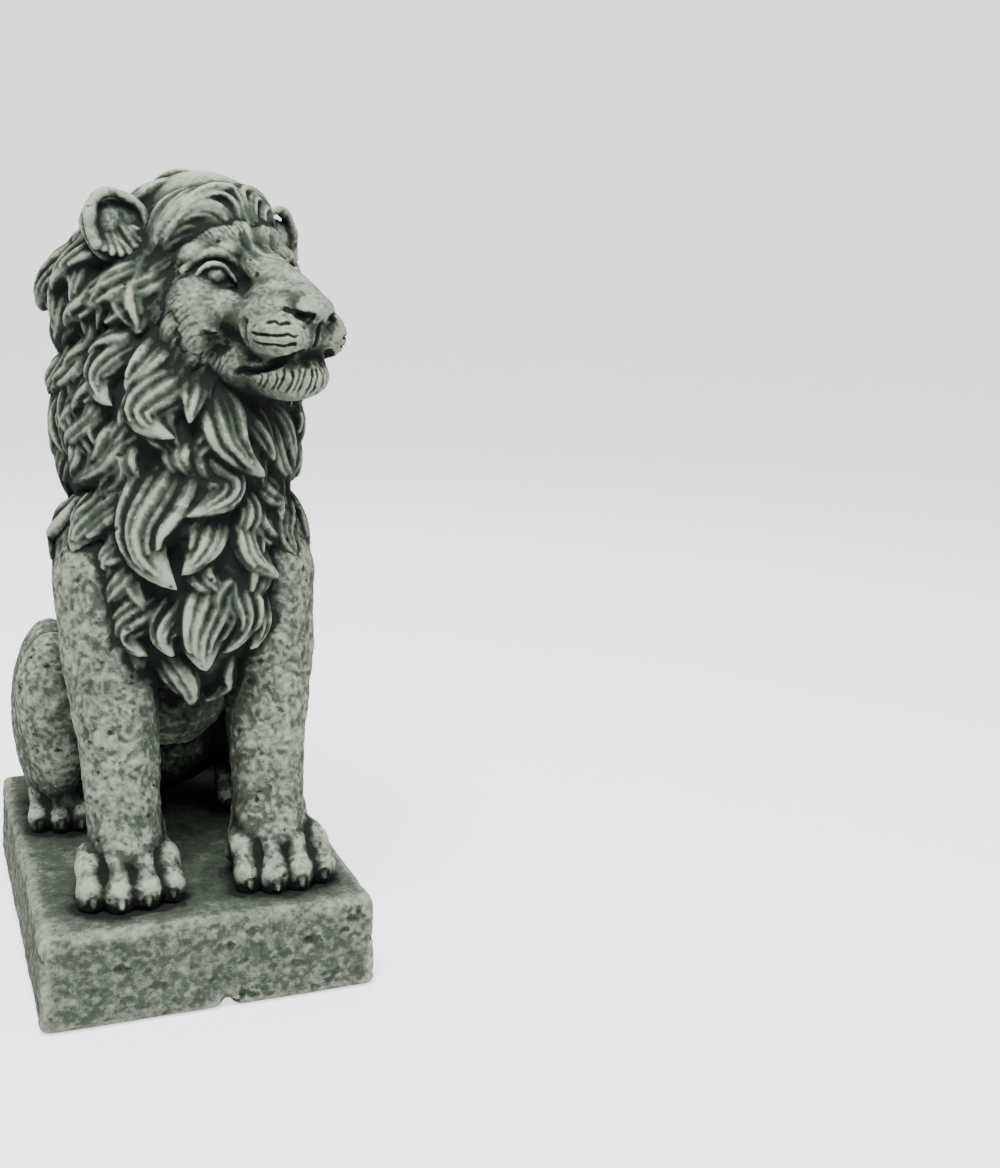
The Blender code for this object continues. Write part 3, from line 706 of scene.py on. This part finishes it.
# Each bold lock of the front: width, degrees it bows to the left, then the angle and height
# where it springs and where it ends.
frontLocks = {
    "temple": [(1.0, 0, -10, 51, -42, 48), (1.2, -3, -14, 49, -58, 45), (2.2, -2, -10, 48, -57, 44)],
    "cheek": [(1.3, 0, -12, 46, -48, 43), (2.2, -8, -21, 44, -35, 37), (1.6, -1, -10, 43, -30, 38)],
    "beard": [
        (2.3, -8, -3, 40, -10, 35),
        (1.2, 0, 1, 40, -5, 36),
        (2.3, -4, 4, 39, 28, 32),
        (1.4, 0, 19, 38, 34, 33),
        (2.6, -4, 34, 37, 64, 31),
        (1.8, 0, 66, 37, 68, 32),
        (1.5, 2, 81, 40, 72, 34),
    ],
    "neck": [
        (1.7, -4, -48, 43, -60, 37),
        (1.8, 3, -43, 40, -60, 35),
        (1.6, 6, -70, 48, -90, 44),
        (1.6, -6, -62, 45, -88, 39),
        (2.1, -4, -42, 38, -65, 33),
        (1.9, -8, -68, 38, -86, 33),
        (1.8, -8, -66, 35, -78, 29),
    ],
    "throat": [
        (3.2, -6, -12, 35, -10, 24),
        (2.3, 8, 2, 35, -8, 29),
        (1.9, 1, 8, 30, -9, 25),
        (1.6, 4, 29, 32, 36, 28),
        (1.9, -4, 17, 30, 32, 24),
        (2.0, -4, 50, 32, 46, 25),
        (1.3, 0, 64, 31, 58, 25),
        (2.2, 5, -24, 36, -66, 31),
        (2.3, -3, -25, 32, -51, 26),
        (1.6, -6, -60, 30, -64, 25),
    ],
    "chest": [
        (1.3, -2, -24, 28, -37, 25),
        (1.9, 0, -21, 27, -39, 22),
        (2.0, -6, -14, 24, -20, 19),
        (1.8, -3, -6, 24, -11, 19),
        (2.9, -2, 8, 25, 0, 18),
        (1.6, 4, 17, 25, 5, 19),
        (1.8, 1, 28, 24, 18, 19),
        (1.6, 0, -33, 22, -24, 17),
        (1.8, 1, -18, 19, -4, 15),
        (1.5, 3, 20, 18, 2, 15),
    ],
}


# width, thickness and lift of a lock at t along it, as shares of their largest values
def lockProfile(t, root):
    swell = root + (1 - root) * math.sin(math.pi / 2 * min(1.0, t / 0.45))
    width = swell * max(0.0, 1.0 - t ** 2.9) ** 0.85
    thick = (0.5 + 0.5 * min(1.0, t / 0.6)) * max(0.0, 1.0 - t ** 5) ** 0.5
    lift = -0.7 + 1.5 * t ** 1.3
    return width, thick, lift


# the way the hair falls: away from the face near it, and down further off
def maneFlow(point, normal, head):
    local = head.inverted() @ point
    radial = Vector((local.x, 0, local.z + 2.0))
    away = max(0.0, radial.length - 5.5) + max(0.0, local.y - 1.0) * 0.7
    near = math.exp(-away / 4.5)
    radial.normalize()
    outward = head.to_3x3() @ (radial * 0.8 + Vector((0, 0.75, 0)))
    down = Vector((0, 0.12 if point.y > 0 else 0.0, -1))
    flow = outward * near + down * (1.0 - 0.7 * near)
    flow -= normal * flow.dot(normal)
    return flow.normalized()


# a lock's line, following the hair over the surface and bending to and fro
def lockSpine(surface, start, length, bend, head, steps=16):
    point, normal = surface.find_nearest(start)[:2]
    spine = []
    for i in range(steps + 1):
        t = i / steps
        turn = Matrix.Rotation(math.radians(bend * math.cos(math.pi * t * 1.5)), 3, normal)
        ahead = turn @ maneFlow(point, normal, head)
        spine.append((t, point.copy(), normal.copy(), ahead))
        found, foundNormal = surface.find_nearest(point + ahead * (length / steps))[:2]
        normal = (normal * 0.6 + foundNormal * 0.4).normalized()
        point = found.lerp(point + ahead * (length / steps), 0.25)
    return spine


# a lock's line from one angle and height to another, bowing late so that its tip hooks back
def setSpine(surface, bow, start, end, steps=18):
    points = []
    for i in range(steps + 1):
        t = i / steps
        sway = bow * (math.sin(math.pi * t) - 0.45 * math.sin(2 * math.pi * t))
        turn = math.radians(start[0] + (end[0] - start[0]) * t + sway)
        height = start[1] + (end[1] - start[1]) * t
        inward = Vector((-math.sin(turn), math.cos(turn), 0))
        middle = Vector((*mane["middle"], height))
        point, normal = surface.ray_cast(middle - inward * 30, inward)[:2]
        if points and (point - points[-1][0]).length > 2.0:
            point, normal = surface.find_nearest(points[-1][0] + Vector((0, 0, -0.4)))[:2]
        points.append((point, normal))
    spine = []
    for i, (point, normal) in enumerate(points):
        ahead = points[min(i + 1, steps)][0] - points[max(i - 1, 0)][0]
        spine.append((i / steps, point, normal, ahead.normalized()))
    return spine


# joins rings of points into a closed skin
def skinRings(clay, rings, tip):
    rings = [[clay.verts.new(p) for p in ring] for ring in rings]
    tip = clay.verts.new(tip)
    sides = len(rings[0])
    for low, high in zip(rings, rings[1:]):
        for k in range(sides):
            n = (k + 1) % sides
            clay.faces.new((low[k], low[n], high[n], high[k]))
    for k in range(sides):
        clay.faces.new((rings[-1][k], rings[-1][(k + 1) % sides], tip))
    clay.faces.new(list(reversed(rings[0])))


# one lock: a shingle of clay with a bundle of strands along its back
def addLock(clay, spine, width, thick, strands, rng, root=0.6):
    skew = rng.choice((-1, 1)) * rng.uniform(0.1, 0.3)
    drift = rng.uniform(-0.3, 0.3)
    across = 9
    frames = []
    for t, point, normal, ahead in spine:
        shareWidth, shareThick, shareLift = lockProfile(t, root)
        side = ahead.cross(normal).normalized()
        frames.append((t, point + normal * (shareLift * thick), normal, side, shareWidth * width / 2,
                       shareThick * thick, max(0.0, shareLift) * thick))

    def back(frame, u):
        t, middle, normal, side, half, high, lift = frame
        dome = max(0.0, 1 - 0.92 * u * u) ** 0.5 * (1 + skew * u)
        return middle + side * (half * u) + normal * (high * dome * 0.62)

    rings = []
    for frame in frames[:-1]:
        t, middle, normal, side, half, high, lift = frame
        ring = [back(frame, -1 + 2 * k / (across - 1)) for k in range(across)]
        foot = normal * (-0.6 * high - lift * (1 - t) ** 0.5)
        for k in reversed(range(3)):
            ring.append(middle + side * (half * 0.8 * (k - 1)) + foot)
        rings.append(ring)
    skinRings(clay, rings, frames[-1][1])

    for k in range(strands):
        place = (k + 0.5 + rng.uniform(-0.25, 0.25)) / strands * 2 - 1
        stop = 1.0 - 0.2 * abs(place) - rng.uniform(0, 0.12)
        swing = rng.uniform(-0.3, 0.3)
        bold = rng.uniform(0.7, 1.25)
        rings = []
        last = None
        for frame in frames:
            t, middle, normal, side, half, high, lift = frame
            if t > stop:
                break
            u = place + (drift + swing) * (t - 0.4) * (1 - abs(place))
            share = t / stop
            r = half / strands * bold * (0.95 + 0.15 * math.sin(math.pi * share)) * (1 - share ** 6) ** 0.4
            r = max(r, 0.06)
            centre = back(frame, u * 0.9) + normal * (0.05 * r)
            rings.append([centre + side * (r * math.cos(a)) + normal * (r * math.sin(a) * 1.1)
                          for a in (2 * math.pi * i / 8 for i in range(8))])
            last = centre
        if len(rings) > 3:
            skinRings(clay, rings, last)


# below 1 inside the bare face and muzzle, seen from in front
def faceOpening(local):
    if local.y > 3.2:
        return 9.0
    return math.hypot(local.x / 5.9, (local.z + 2.4) / (5.9 if local.z > -2.4 else 7.4))


# how low locks may start, lower on the chest
def maneFloor(point):
    around = math.atan2(point.x - 0.5, -(point.y + 1.0))
    front = max(0.0, math.cos(around))
    back = max(0.0, -math.cos(around))
    return 36.0 - 13.0 * front ** 2.0 - 4.0 * back


# places on the mane in random order, none nearer to another than the spacing
def scattered(mesh, spacing, head, rng):
    inverse = head.inverted()
    points = [v.co.copy() for v in mesh.vertices if v.co.z > 21]
    rng.shuffle(points)
    kept = []
    for p in points:
        local = inverse @ p
        crest = local.z > 1.0 and local.y < 7.5 and abs(local.x) < 6.5
        if p.z < maneFloor(p) or faceOpening(local) < 1.12 or crest:
            continue
        if all((p - q).length_squared > spacing * spacing for q in kept):
            kept.append(p)
    return sorted(kept, key=lambda p: p.z)


# places along the edge of the face, evenly spaced, from under the near jaw over the top
def faceEdge(spacing):
    half = mane["faceEdge"]
    whole = [(-x, y, z) for x, y, z in reversed(half)] + list(half[1:])
    line = smoothLine(whole, 400)
    run = np.concatenate([[0], np.cumsum(np.linalg.norm(np.diff(line, axis=0), axis=1))])
    count = round(run[-1] / spacing)
    return [Vector(line[np.searchsorted(run, run[-1] * (k + 0.5) / count)]) for k in range(count)]


def addMane(clay, mesh, surface, head):
    rng = random.Random(seed)
    front = []
    for rows in frontLocks.values():
        for width, bow, *ends in rows:
            front.append((width, setSpine(surface, bow * mane["bowing"], ends[:2], ends[2:])))
    taken = [point for _, spine in front for _, point, _, _ in spine]
    for spacing, length, width, thick, strands in mane["layers"]:
        for start in scattered(mesh, spacing, head, rng):
            if thick > 1.2 and min((start - p).length for p in taken) < mane["clear"]:
                continue
            bend = rng.choice((-1, 1)) * rng.uniform(28, 60)
            reach = length * rng.uniform(0.85, 1.1) * (0.72 + 0.28 * min(1.0, max(0.0, start.z - 34) / 10))
            spine = lockSpine(surface, start, reach, bend, head)
            high = thick * rng.uniform(0.85, 1.15) * (1.0 if start.z > 39 else 0.5)
            addLock(clay, spine, width * rng.uniform(0.85, 1.1), high, strands, rng)
    for width, spine in front:
        outer = min(1.0, abs(spine[-1][1].x - mane["middle"][0]) / 9) ** 3
        thick = (0.75 + 0.34 * width) * (1 - 0.8 * outer)
        addLock(clay, spine, width * mane["frontWidth"], thick, round(0.9 * width) + 2, rng)
    # fine hair springing from the edge of the face, in rows swept back
    for back, spacing, length, width, thick, bend in mane["fineRows"]:
        for edge in faceEdge(spacing):
            top = max(0.0, min(1.0, (edge.z + 1.0) / 4.0))
            if back > 0 and top < 0.35:
                continue
            outward = Vector((edge.x, 0, edge.z + 2.4)).normalized()
            behind = back + rng.uniform(-0.5, 0.5)
            start = head @ (edge + outward * (0.45 * behind) + Vector((0, behind, 0)))
            turn = (bend if edge.x > 0 else -bend) + rng.uniform(-bend, bend)
            reach = length * rng.uniform(0.8, 1.15) * (0.75 + 0.35 * top)
            spine = lockSpine(surface, start, reach, turn, head)
            addLock(clay, spine, width * rng.uniform(0.8, 1.2), thick * rng.uniform(0.8, 1.2), 2, rng, 0.2)


def buildMane():
    clay = bmesh.new()
    addBody(clay)
    addManeMasses(clay)
    addHeadMasses(clay)
    core = fused(asMesh(clay, "core"), 0.40, 0.7)
    clay = bmesh.new()
    addManeMasses(clay)
    filling = fused(asMesh(clay, "filling"), 0.30, 0.7)
    clay = bmesh.new()
    addMane(clay, core, surfaceOf(core), headFrame())
    clay.from_mesh(filling)
    mesh = fused(asMesh(clay, "mane"), mane["grain"], 0.10)
    weathered(mesh, *mane["wear"], 21)
    return thinned(mesh, mane["triangles"])


# Plinth, in metres

def buildPlinth():
    clay = bmesh.new()
    bmesh.ops.create_cube(clay, size=1.0)
    wide = boxHigh[0] - boxLow[0] - 2 * plinth["roughness"]
    deep = boxHigh[1] - boxLow[1] - 2 * plinth["roughness"]
    for v in clay.verts:
        inset = plinth["draft"] if v.co.z > 0 else 0.0
        x = (wide / 2 - inset) * (1 if v.co.x > 0 else -1)
        y = (deep / 2 - inset) * (1 if v.co.y > 0 else -1)
        v.co = (x, y, plinth["height"] if v.co.z > 0 else 0.0)
    obj = newObject("plinth", asMesh(clay, "plinth"))
    edge = obj.modifiers.new("Edge", "BEVEL")
    edge.width = plinth["edge"]
    edge.segments = 4
    mesh = fused(settled(obj), plinth["grain"], plinth["grain"] * 1.5)
    co = pointsOf(mesh)
    normals = normalsOf(mesh)
    sides = 1 - np.abs(normals[:, 2])
    grain = plinth["roughness"] * (0.6 * noiseAt(co, 0.022, 31) + 0.4 * noiseAt(co, 0.008, 32))
    grain += 0.0004 * noiseAt(co, 0.0035, 33)
    x, y, wide, high, deep = plinth["notch"]
    notch = np.exp(-((co[:, 0] - x) / wide) ** 2 - (co[:, 2] / high) ** 2)
    notch *= co[:, 1] < y
    rng = random.Random(seed + 3)
    tree = treeOf(co)
    ragged = 0.6 * noiseAt(co, 0.004, 35)
    for _ in range(plinth["chips"]):
        centre = co[rng.randrange(len(co))]
        size = 0.003 + 0.008 * rng.random() ** 2
        slope = rng.uniform(-0.8, 0.8)
        for point, i, gap in tree.find_range(centre, size):
            x, y, z = co[i] - centre
            gap = math.hypot((x + y) - slope * z, 2.2 * z + slope * (x + y)) / size
            gap += ragged[i]
            if gap < 1:
                grain[i] -= (0.11 * size if sides[i] > 0.3 else 0.03 * size) * (1 - gap * gap)
    co = co + normals * (grain * (0.25 + 0.75 * sides) - deep * notch)[:, None]
    co[:, 2] = np.maximum(co[:, 2], 0.0)
    setPoints(mesh, co)
    return thinned(mesh, plinth["triangles"])


# Colour: the stone's own tone, with painted light and shade

stone = {
    "pale": (0.42, 0.47, 0.37, 1),
    "middle": (0.072, 0.095, 0.068, 1),
    "dark": (0.004, 0.0075, 0.005, 1),
    "stops": (0.12, 0.48, 0.85),    # where dark, middle and pale stand between 0 and 1
    "roughness": 0.86,
    "gloss": 0.35,
    "bump": 0.0013,
    "creviceShade": 0.95,                # painted shade darkening narrow hollows
}

# level is the plain surface's place between dark, 0, and pale, 1. The pieces are one stone, and their levels
# differ as painted light, the head's palest and the mane's darkest. Fine and broad paint a highlight on what
# stands out and shade in hollows, and shade paints shade on what is sheltered. Near and far are the rounds
# of smoothing that fine and broad are measured against, and the height that counts in full.
toneAndPaintedLight = {
    "plinth": {"level": 0.51, "fine": 0.28, "broad": 0.06, "speckle": 0.9, "blotch": 0.65, "shade": 0.75,
               "near": (4, 0.0006), "far": (30, 0.002)},
    "body": {"level": 0.49, "fine": 0.30, "broad": 0.18, "speckle": 0.9, "blotch": 0.6, "shade": 1.1,
             "near": (5, 0.06), "far": (60, 0.5)},
    "mane": {"level": 0.42, "fine": 0.40, "broad": 0.48, "speckle": 0.5, "blotch": 0.35, "shade": 1.25,
             "near": (5, 0.10), "far": (60, 0.6)},
    "head": {"level": 0.53, "fine": 0.36, "broad": 0.38, "speckle": 0.7, "blotch": 0.45, "shade": 1.0,
             "near": (5, 0.05), "far": (60, 0.4)},
}


def addLayer(mesh, name, values):
    layer = mesh.attributes.new(name, "FLOAT", "POINT")
    layer.data.foreach_set("value", values)


# how far each point stands out from its surroundings, near and further off,
# for a painted highlight on what stands out and painted shade in hollows
def addRelief(mesh, near, far):
    co = pointsOf(mesh)
    normals = normalsOf(mesh)
    for name, (rounds, full) in (("fineRelief", near), ("broadRelief", far)):
        gap = ((co - relaxed(mesh, co, rounds)) * normals).sum(1) / full
        addLayer(mesh, name, np.clip(gap, -1, 1))


# how closed in each point is: by what lies within a fingertip, and within a hand's width;
# both are painted shade, the near one in narrow hollows, the wide one under and between parts
def addShelter(mesh, tree, near=0.012, wide=0.11, step=5, rays=14):
    co = pointsOf(mesh)
    normals = normalsOf(mesh)
    noise = np.random.default_rng(seed)
    picked = np.arange(0, len(co), step)
    up = normals[picked]
    spin = noise.uniform(0, 2 * np.pi, len(picked))
    flat = np.cross(up, np.where(np.abs(up[:, 2:]) < 0.9, [[0.0, 0.0, 1.0]], [[1.0, 0.0, 0.0]]))
    flat /= np.linalg.norm(flat, axis=1)[:, None]
    other = np.cross(up, flat)
    found = np.zeros((len(picked), 2))
    starts = (co[picked] + up * 0.0003).tolist()
    goldenTurn = 2.399963
    for k in range(rays):
        r = math.sqrt((k + 0.5) / rays)
        turn = spin + k * goldenTurn
        way = r * (np.cos(turn)[:, None] * flat + np.sin(turn)[:, None] * other) + math.sqrt(1 - r * r) * up
        cast = zip(starts, way.tolist())
        gaps = np.array([tree.ray_cast(start, ahead, wide)[3] or wide for start, ahead in cast])
        found[:, 0] += np.clip(1 - gaps / near, 0, 1)
        found[:, 1] += np.clip(1 - gaps / wide, 0, 1)
    values = np.zeros((len(co), 3))
    values[picked, :2] = found / rays
    values[picked, 2] = 1
    values = relaxed(mesh, values, 5)
    values = values[:, :2] / np.maximum(values[:, 2:], 1e-6)
    # painted shade: the near share darkens narrow hollows, the wide share what is sheltered
    for k, name in enumerate(("creviceShade", "shade")):
        addLayer(mesh, name, np.clip(values[:, k], 0, 1))


def newGroup(name, inputs, outputs):
    group = bpy.data.node_groups.new(name, "ShaderNodeTree")
    for label, kind, value in inputs:
        socket = group.interface.new_socket(label, in_out="INPUT", socket_type=kind)
        socket.default_value = value
    for label, kind in outputs:
        group.interface.new_socket(label, in_out="OUTPUT", socket_type=kind)
    return group


def makeStoneGrain():
    group = newGroup(
        "StoneGrain",
        [("Scale", "NodeSocketFloat", 1.0)],
        [("Height", "NodeSocketFloat"), ("Speckle", "NodeSocketFloat"), ("Blotch", "NodeSocketFloat")],
    )
    nodes, links = group.nodes, group.links
    entry = nodes.new("NodeGroupInput")
    leave = nodes.new("NodeGroupOutput")
    place = nodes.new("ShaderNodeTexCoord")

    def noise(scale, detail, rough):
        node = nodes.new("ShaderNodeTexNoise")
        node.inputs["Detail"].default_value = detail
        node.inputs["Roughness"].default_value = rough
        times = nodes.new("ShaderNodeMath")
        times.operation = "MULTIPLY"
        times.inputs[1].default_value = scale
        links.new(entry.outputs["Scale"], times.inputs[0])
        links.new(times.outputs[0], node.inputs["Scale"])
        links.new(place.outputs["Object"], node.inputs["Vector"])
        return node

    fine = noise(900, 3, 0.6)
    coarse = noise(260, 9, 0.82)
    blotch = noise(60, 5, 0.65)
    pores = nodes.new("ShaderNodeTexVoronoi")
    pores.inputs["Scale"].default_value = 420
    links.new(place.outputs["Object"], pores.inputs["Vector"])
    hollow = nodes.new("ShaderNodeMapRange")
    hollow.inputs["From Min"].default_value = 0.10
    hollow.inputs["From Max"].default_value = 0.32
    links.new(pores.outputs["Distance"], hollow.inputs["Value"])
    height = coarse.outputs["Fac"]
    for mask, share in ((fine.outputs["Fac"], 0.5), (hollow.outputs["Result"], 0.25)):
        added = nodes.new("ShaderNodeMath")
        added.operation = "MULTIPLY_ADD"
        added.inputs[1].default_value = share
        links.new(mask, added.inputs[0])
        links.new(height, added.inputs[2])
        height = added.outputs[0]
    links.new(height, leave.inputs["Height"])
    links.new(coarse.outputs["Fac"], leave.inputs["Speckle"])
    links.new(blotch.outputs["Fac"], leave.inputs["Blotch"])
    return group


def makeStone(grain, name, toneAndLight):
    material = bpy.data.materials.new(name)
    material.use_nodes = True
    nodes, links = material.node_tree.nodes, material.node_tree.links
    shader = nodes["Principled BSDF"]
    shader.inputs["Specular IOR Level"].default_value = stone["gloss"]
    texture = nodes.new("ShaderNodeGroup")
    texture.node_tree = grain

    def scaled(mask, amount, plus):
        node = nodes.new("ShaderNodeMath")
        node.operation = "MULTIPLY_ADD"
        links.new(mask, node.inputs[0])
        node.inputs[1].default_value = amount
        if isinstance(plus, float):
            node.inputs[2].default_value = plus
        else:
            links.new(plus, node.inputs[2])
        return node.outputs[0]

    # the stone's level, lightened and darkened by painted highlight and painted shade, then its own speckle
    # and blotch
    level = toneAndLight["level"]
    layers = (("fineRelief", toneAndLight["fine"]), ("broadRelief", toneAndLight["broad"]),
              ("creviceShade", -stone["creviceShade"]), ("shade", -toneAndLight["shade"]))
    for layer, amount in layers:
        mask = nodes.new("ShaderNodeAttribute")
        mask.attribute_name = layer
        level = scaled(mask.outputs["Fac"], amount, level)
    for mask, amount in (("Speckle", toneAndLight["speckle"]), ("Blotch", toneAndLight["blotch"])):
        added = nodes.new("ShaderNodeMath")
        added.operation = "ADD"
        links.new(level, added.inputs[0])
        links.new(scaled(texture.outputs[mask], amount, -amount / 2), added.inputs[1])
        level = added.outputs[0]
    ramp = nodes.new("ShaderNodeValToRGB")
    dark, middle, pale = stone["stops"]
    ramp.color_ramp.elements[0].position = dark
    ramp.color_ramp.elements[0].color = stone["dark"]
    ramp.color_ramp.elements[1].position = pale
    ramp.color_ramp.elements[1].color = stone["pale"]
    ramp.color_ramp.elements.new(middle).color = stone["middle"]
    links.new(level, ramp.inputs["Fac"])
    links.new(ramp.outputs["Color"], shader.inputs["Base Color"])
    rough = scaled(texture.outputs["Speckle"], 0.2, stone["roughness"] - 0.1)
    links.new(rough, shader.inputs["Roughness"])
    relief = nodes.new("ShaderNodeBump")
    relief.inputs["Distance"].default_value = stone["bump"]
    relief.inputs["Strength"].default_value = 0.8
    links.new(texture.outputs["Height"], relief.inputs["Height"])
    links.new(relief.outputs["Normal"], shader.inputs["Normal"])
    return material


# Putting it together

grain = makeStoneGrain()
stones = {name: makeStone(grain, name + "Stone", toneAndLight) for name, toneAndLight in toneAndPaintedLight.items()}
figurePlace = Matrix.Translation((0, 0, plinth["height"])) @ Matrix.Scale(pose["unit"], 4)


def finished(name, mesh, matrix):
    addRelief(mesh, toneAndPaintedLight[name]["near"], toneAndPaintedLight[name]["far"])
    mesh.transform(matrix)
    mesh.materials.clear()
    mesh.materials.append(stones[name])
    mesh.shade_smooth()
    mesh.calc_loop_triangles()
    say(f"{name} {len(mesh.loop_triangles)} triangles")
    return name, mesh


pieces = [
    finished("plinth", buildPlinth(), Matrix.Identity(4)),
    finished("body", buildBody(), figurePlace),
    finished("mane", buildMane(), figurePlace),
    finished("head", buildHead(), figurePlace),
]
clay = bmesh.new()
for name, mesh in pieces:
    clay.from_mesh(mesh)
around = BVHTree.FromBMesh(clay)
clay.free()
for name, mesh in pieces:
    addShelter(mesh, around)
    obj = newObject(name, mesh)
    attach(obj, "root")
    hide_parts(statueNode)
say("shelter")

# Floor, light and camera

studio = {
    "cameraPlace": (-0.2050, -1.1853, 0.5513),
    "yaw": 23.017,
    "down": 12.051,
    "roll": 2.096,
    "lens": 44.69,
    "floorSize": 60,
    "floorShade": 0.92,
    "surround": 0.36,
    "glow": 1.5,               # what the eye sees of the floor besides the light falling on it
    "aim": (0, 0, 0.3),        # the lamps shine at this from their distance
    "distance": 2.2,
    "lamps": [                 # name, degrees round from the front, degrees up, watts, metres
        ("keyLight", -20, 64, 88, 0.9),
        ("fillLight", 55, 35, 14, 1.4),
        ("backLight", 170, 50, 24, 1.4),
    ],
}


def buildFloor():
    bpy.ops.mesh.primitive_plane_add(size=studio["floorSize"])
    floor = bpy.context.object
    shade = studio["floorShade"]
    floor.name = "floor"
    material = bpy.data.materials.new("paleFloor")
    material.use_nodes = True
    shader = material.node_tree.nodes["Principled BSDF"]
    shader.inputs["Base Color"].default_value = (shade, shade, shade, 1)
    shader.inputs["Roughness"].default_value = 0.9
    shader.inputs["Emission Color"].default_value = (1, 1, 1, 1)
    nodes, links = material.node_tree.nodes, material.node_tree.links
    path = nodes.new("ShaderNodeLightPath")
    glow = nodes.new("ShaderNodeMath")
    glow.operation = "MULTIPLY"
    glow.inputs[1].default_value = studio["glow"]
    links.new(path.outputs["Is Camera Ray"], glow.inputs[0])
    links.new(glow.outputs["Value"], shader.inputs["Emission Strength"])
    floor.data.materials.append(material)


def addLamp(name, around, up, energy, size):
    a, e = math.radians(around), math.radians(up)
    back = Vector((math.sin(a) * math.cos(e), -math.cos(a) * math.cos(e), math.sin(e)))
    lamp = bpy.data.lights.new(name, "AREA")
    lamp.energy = energy
    lamp.size = size
    obj = newObject(name, lamp)
    turn = back.to_track_quat("Z", "Y").to_matrix().to_4x4()
    obj.matrix_world = Matrix.Translation(Vector(studio["aim"]) + back * studio["distance"]) @ turn


def addCamera():
    camera = bpy.data.cameras.new("camera")
    camera.sensor_width = 36
    camera.lens = studio["lens"]
    camera.clip_start = 0.01
    obj = newObject("camera", camera)
    turn = Matrix.Rotation(math.radians(-studio["yaw"]), 4, "Z")
    nod = Matrix.Rotation(math.radians(90 - studio["down"]), 4, "X")
    lean = Matrix.Rotation(math.radians(studio["roll"]), 4, "Z")
    obj.matrix_world = Matrix.Translation(studio["cameraPlace"]) @ turn @ nod @ lean
    bpy.context.scene.camera = obj


# the studio: a white surround for the eye, and a softer one that lights
def buildWorld():
    world = bpy.data.worlds.new("studio")
    bpy.context.scene.world = world
    world.use_nodes = True
    nodes, links = world.node_tree.nodes, world.node_tree.links
    light = nodes["Background"]
    light.inputs["Color"].default_value = (1, 1, 1, 1)
    light.inputs["Strength"].default_value = studio["surround"]
    seen = nodes.new("ShaderNodeBackground")
    seen.inputs["Color"].default_value = (1, 1, 1, 1)
    seen.inputs["Strength"].default_value = studio["glow"] + studio["floorShade"] * studio["surround"]
    path = nodes.new("ShaderNodeLightPath")
    mix = nodes.new("ShaderNodeMixShader")
    links.new(path.outputs["Is Camera Ray"], mix.inputs["Fac"])
    links.new(light.outputs["Background"], mix.inputs[1])
    links.new(seen.outputs["Background"], mix.inputs[2])
    links.new(mix.outputs["Shader"], nodes["World Output"].inputs["Surface"])


buildFloor()
buildWorld()
for name, around, up, energy, size in studio["lamps"]:
    addLamp(name, around, up, energy, size)
addCamera()
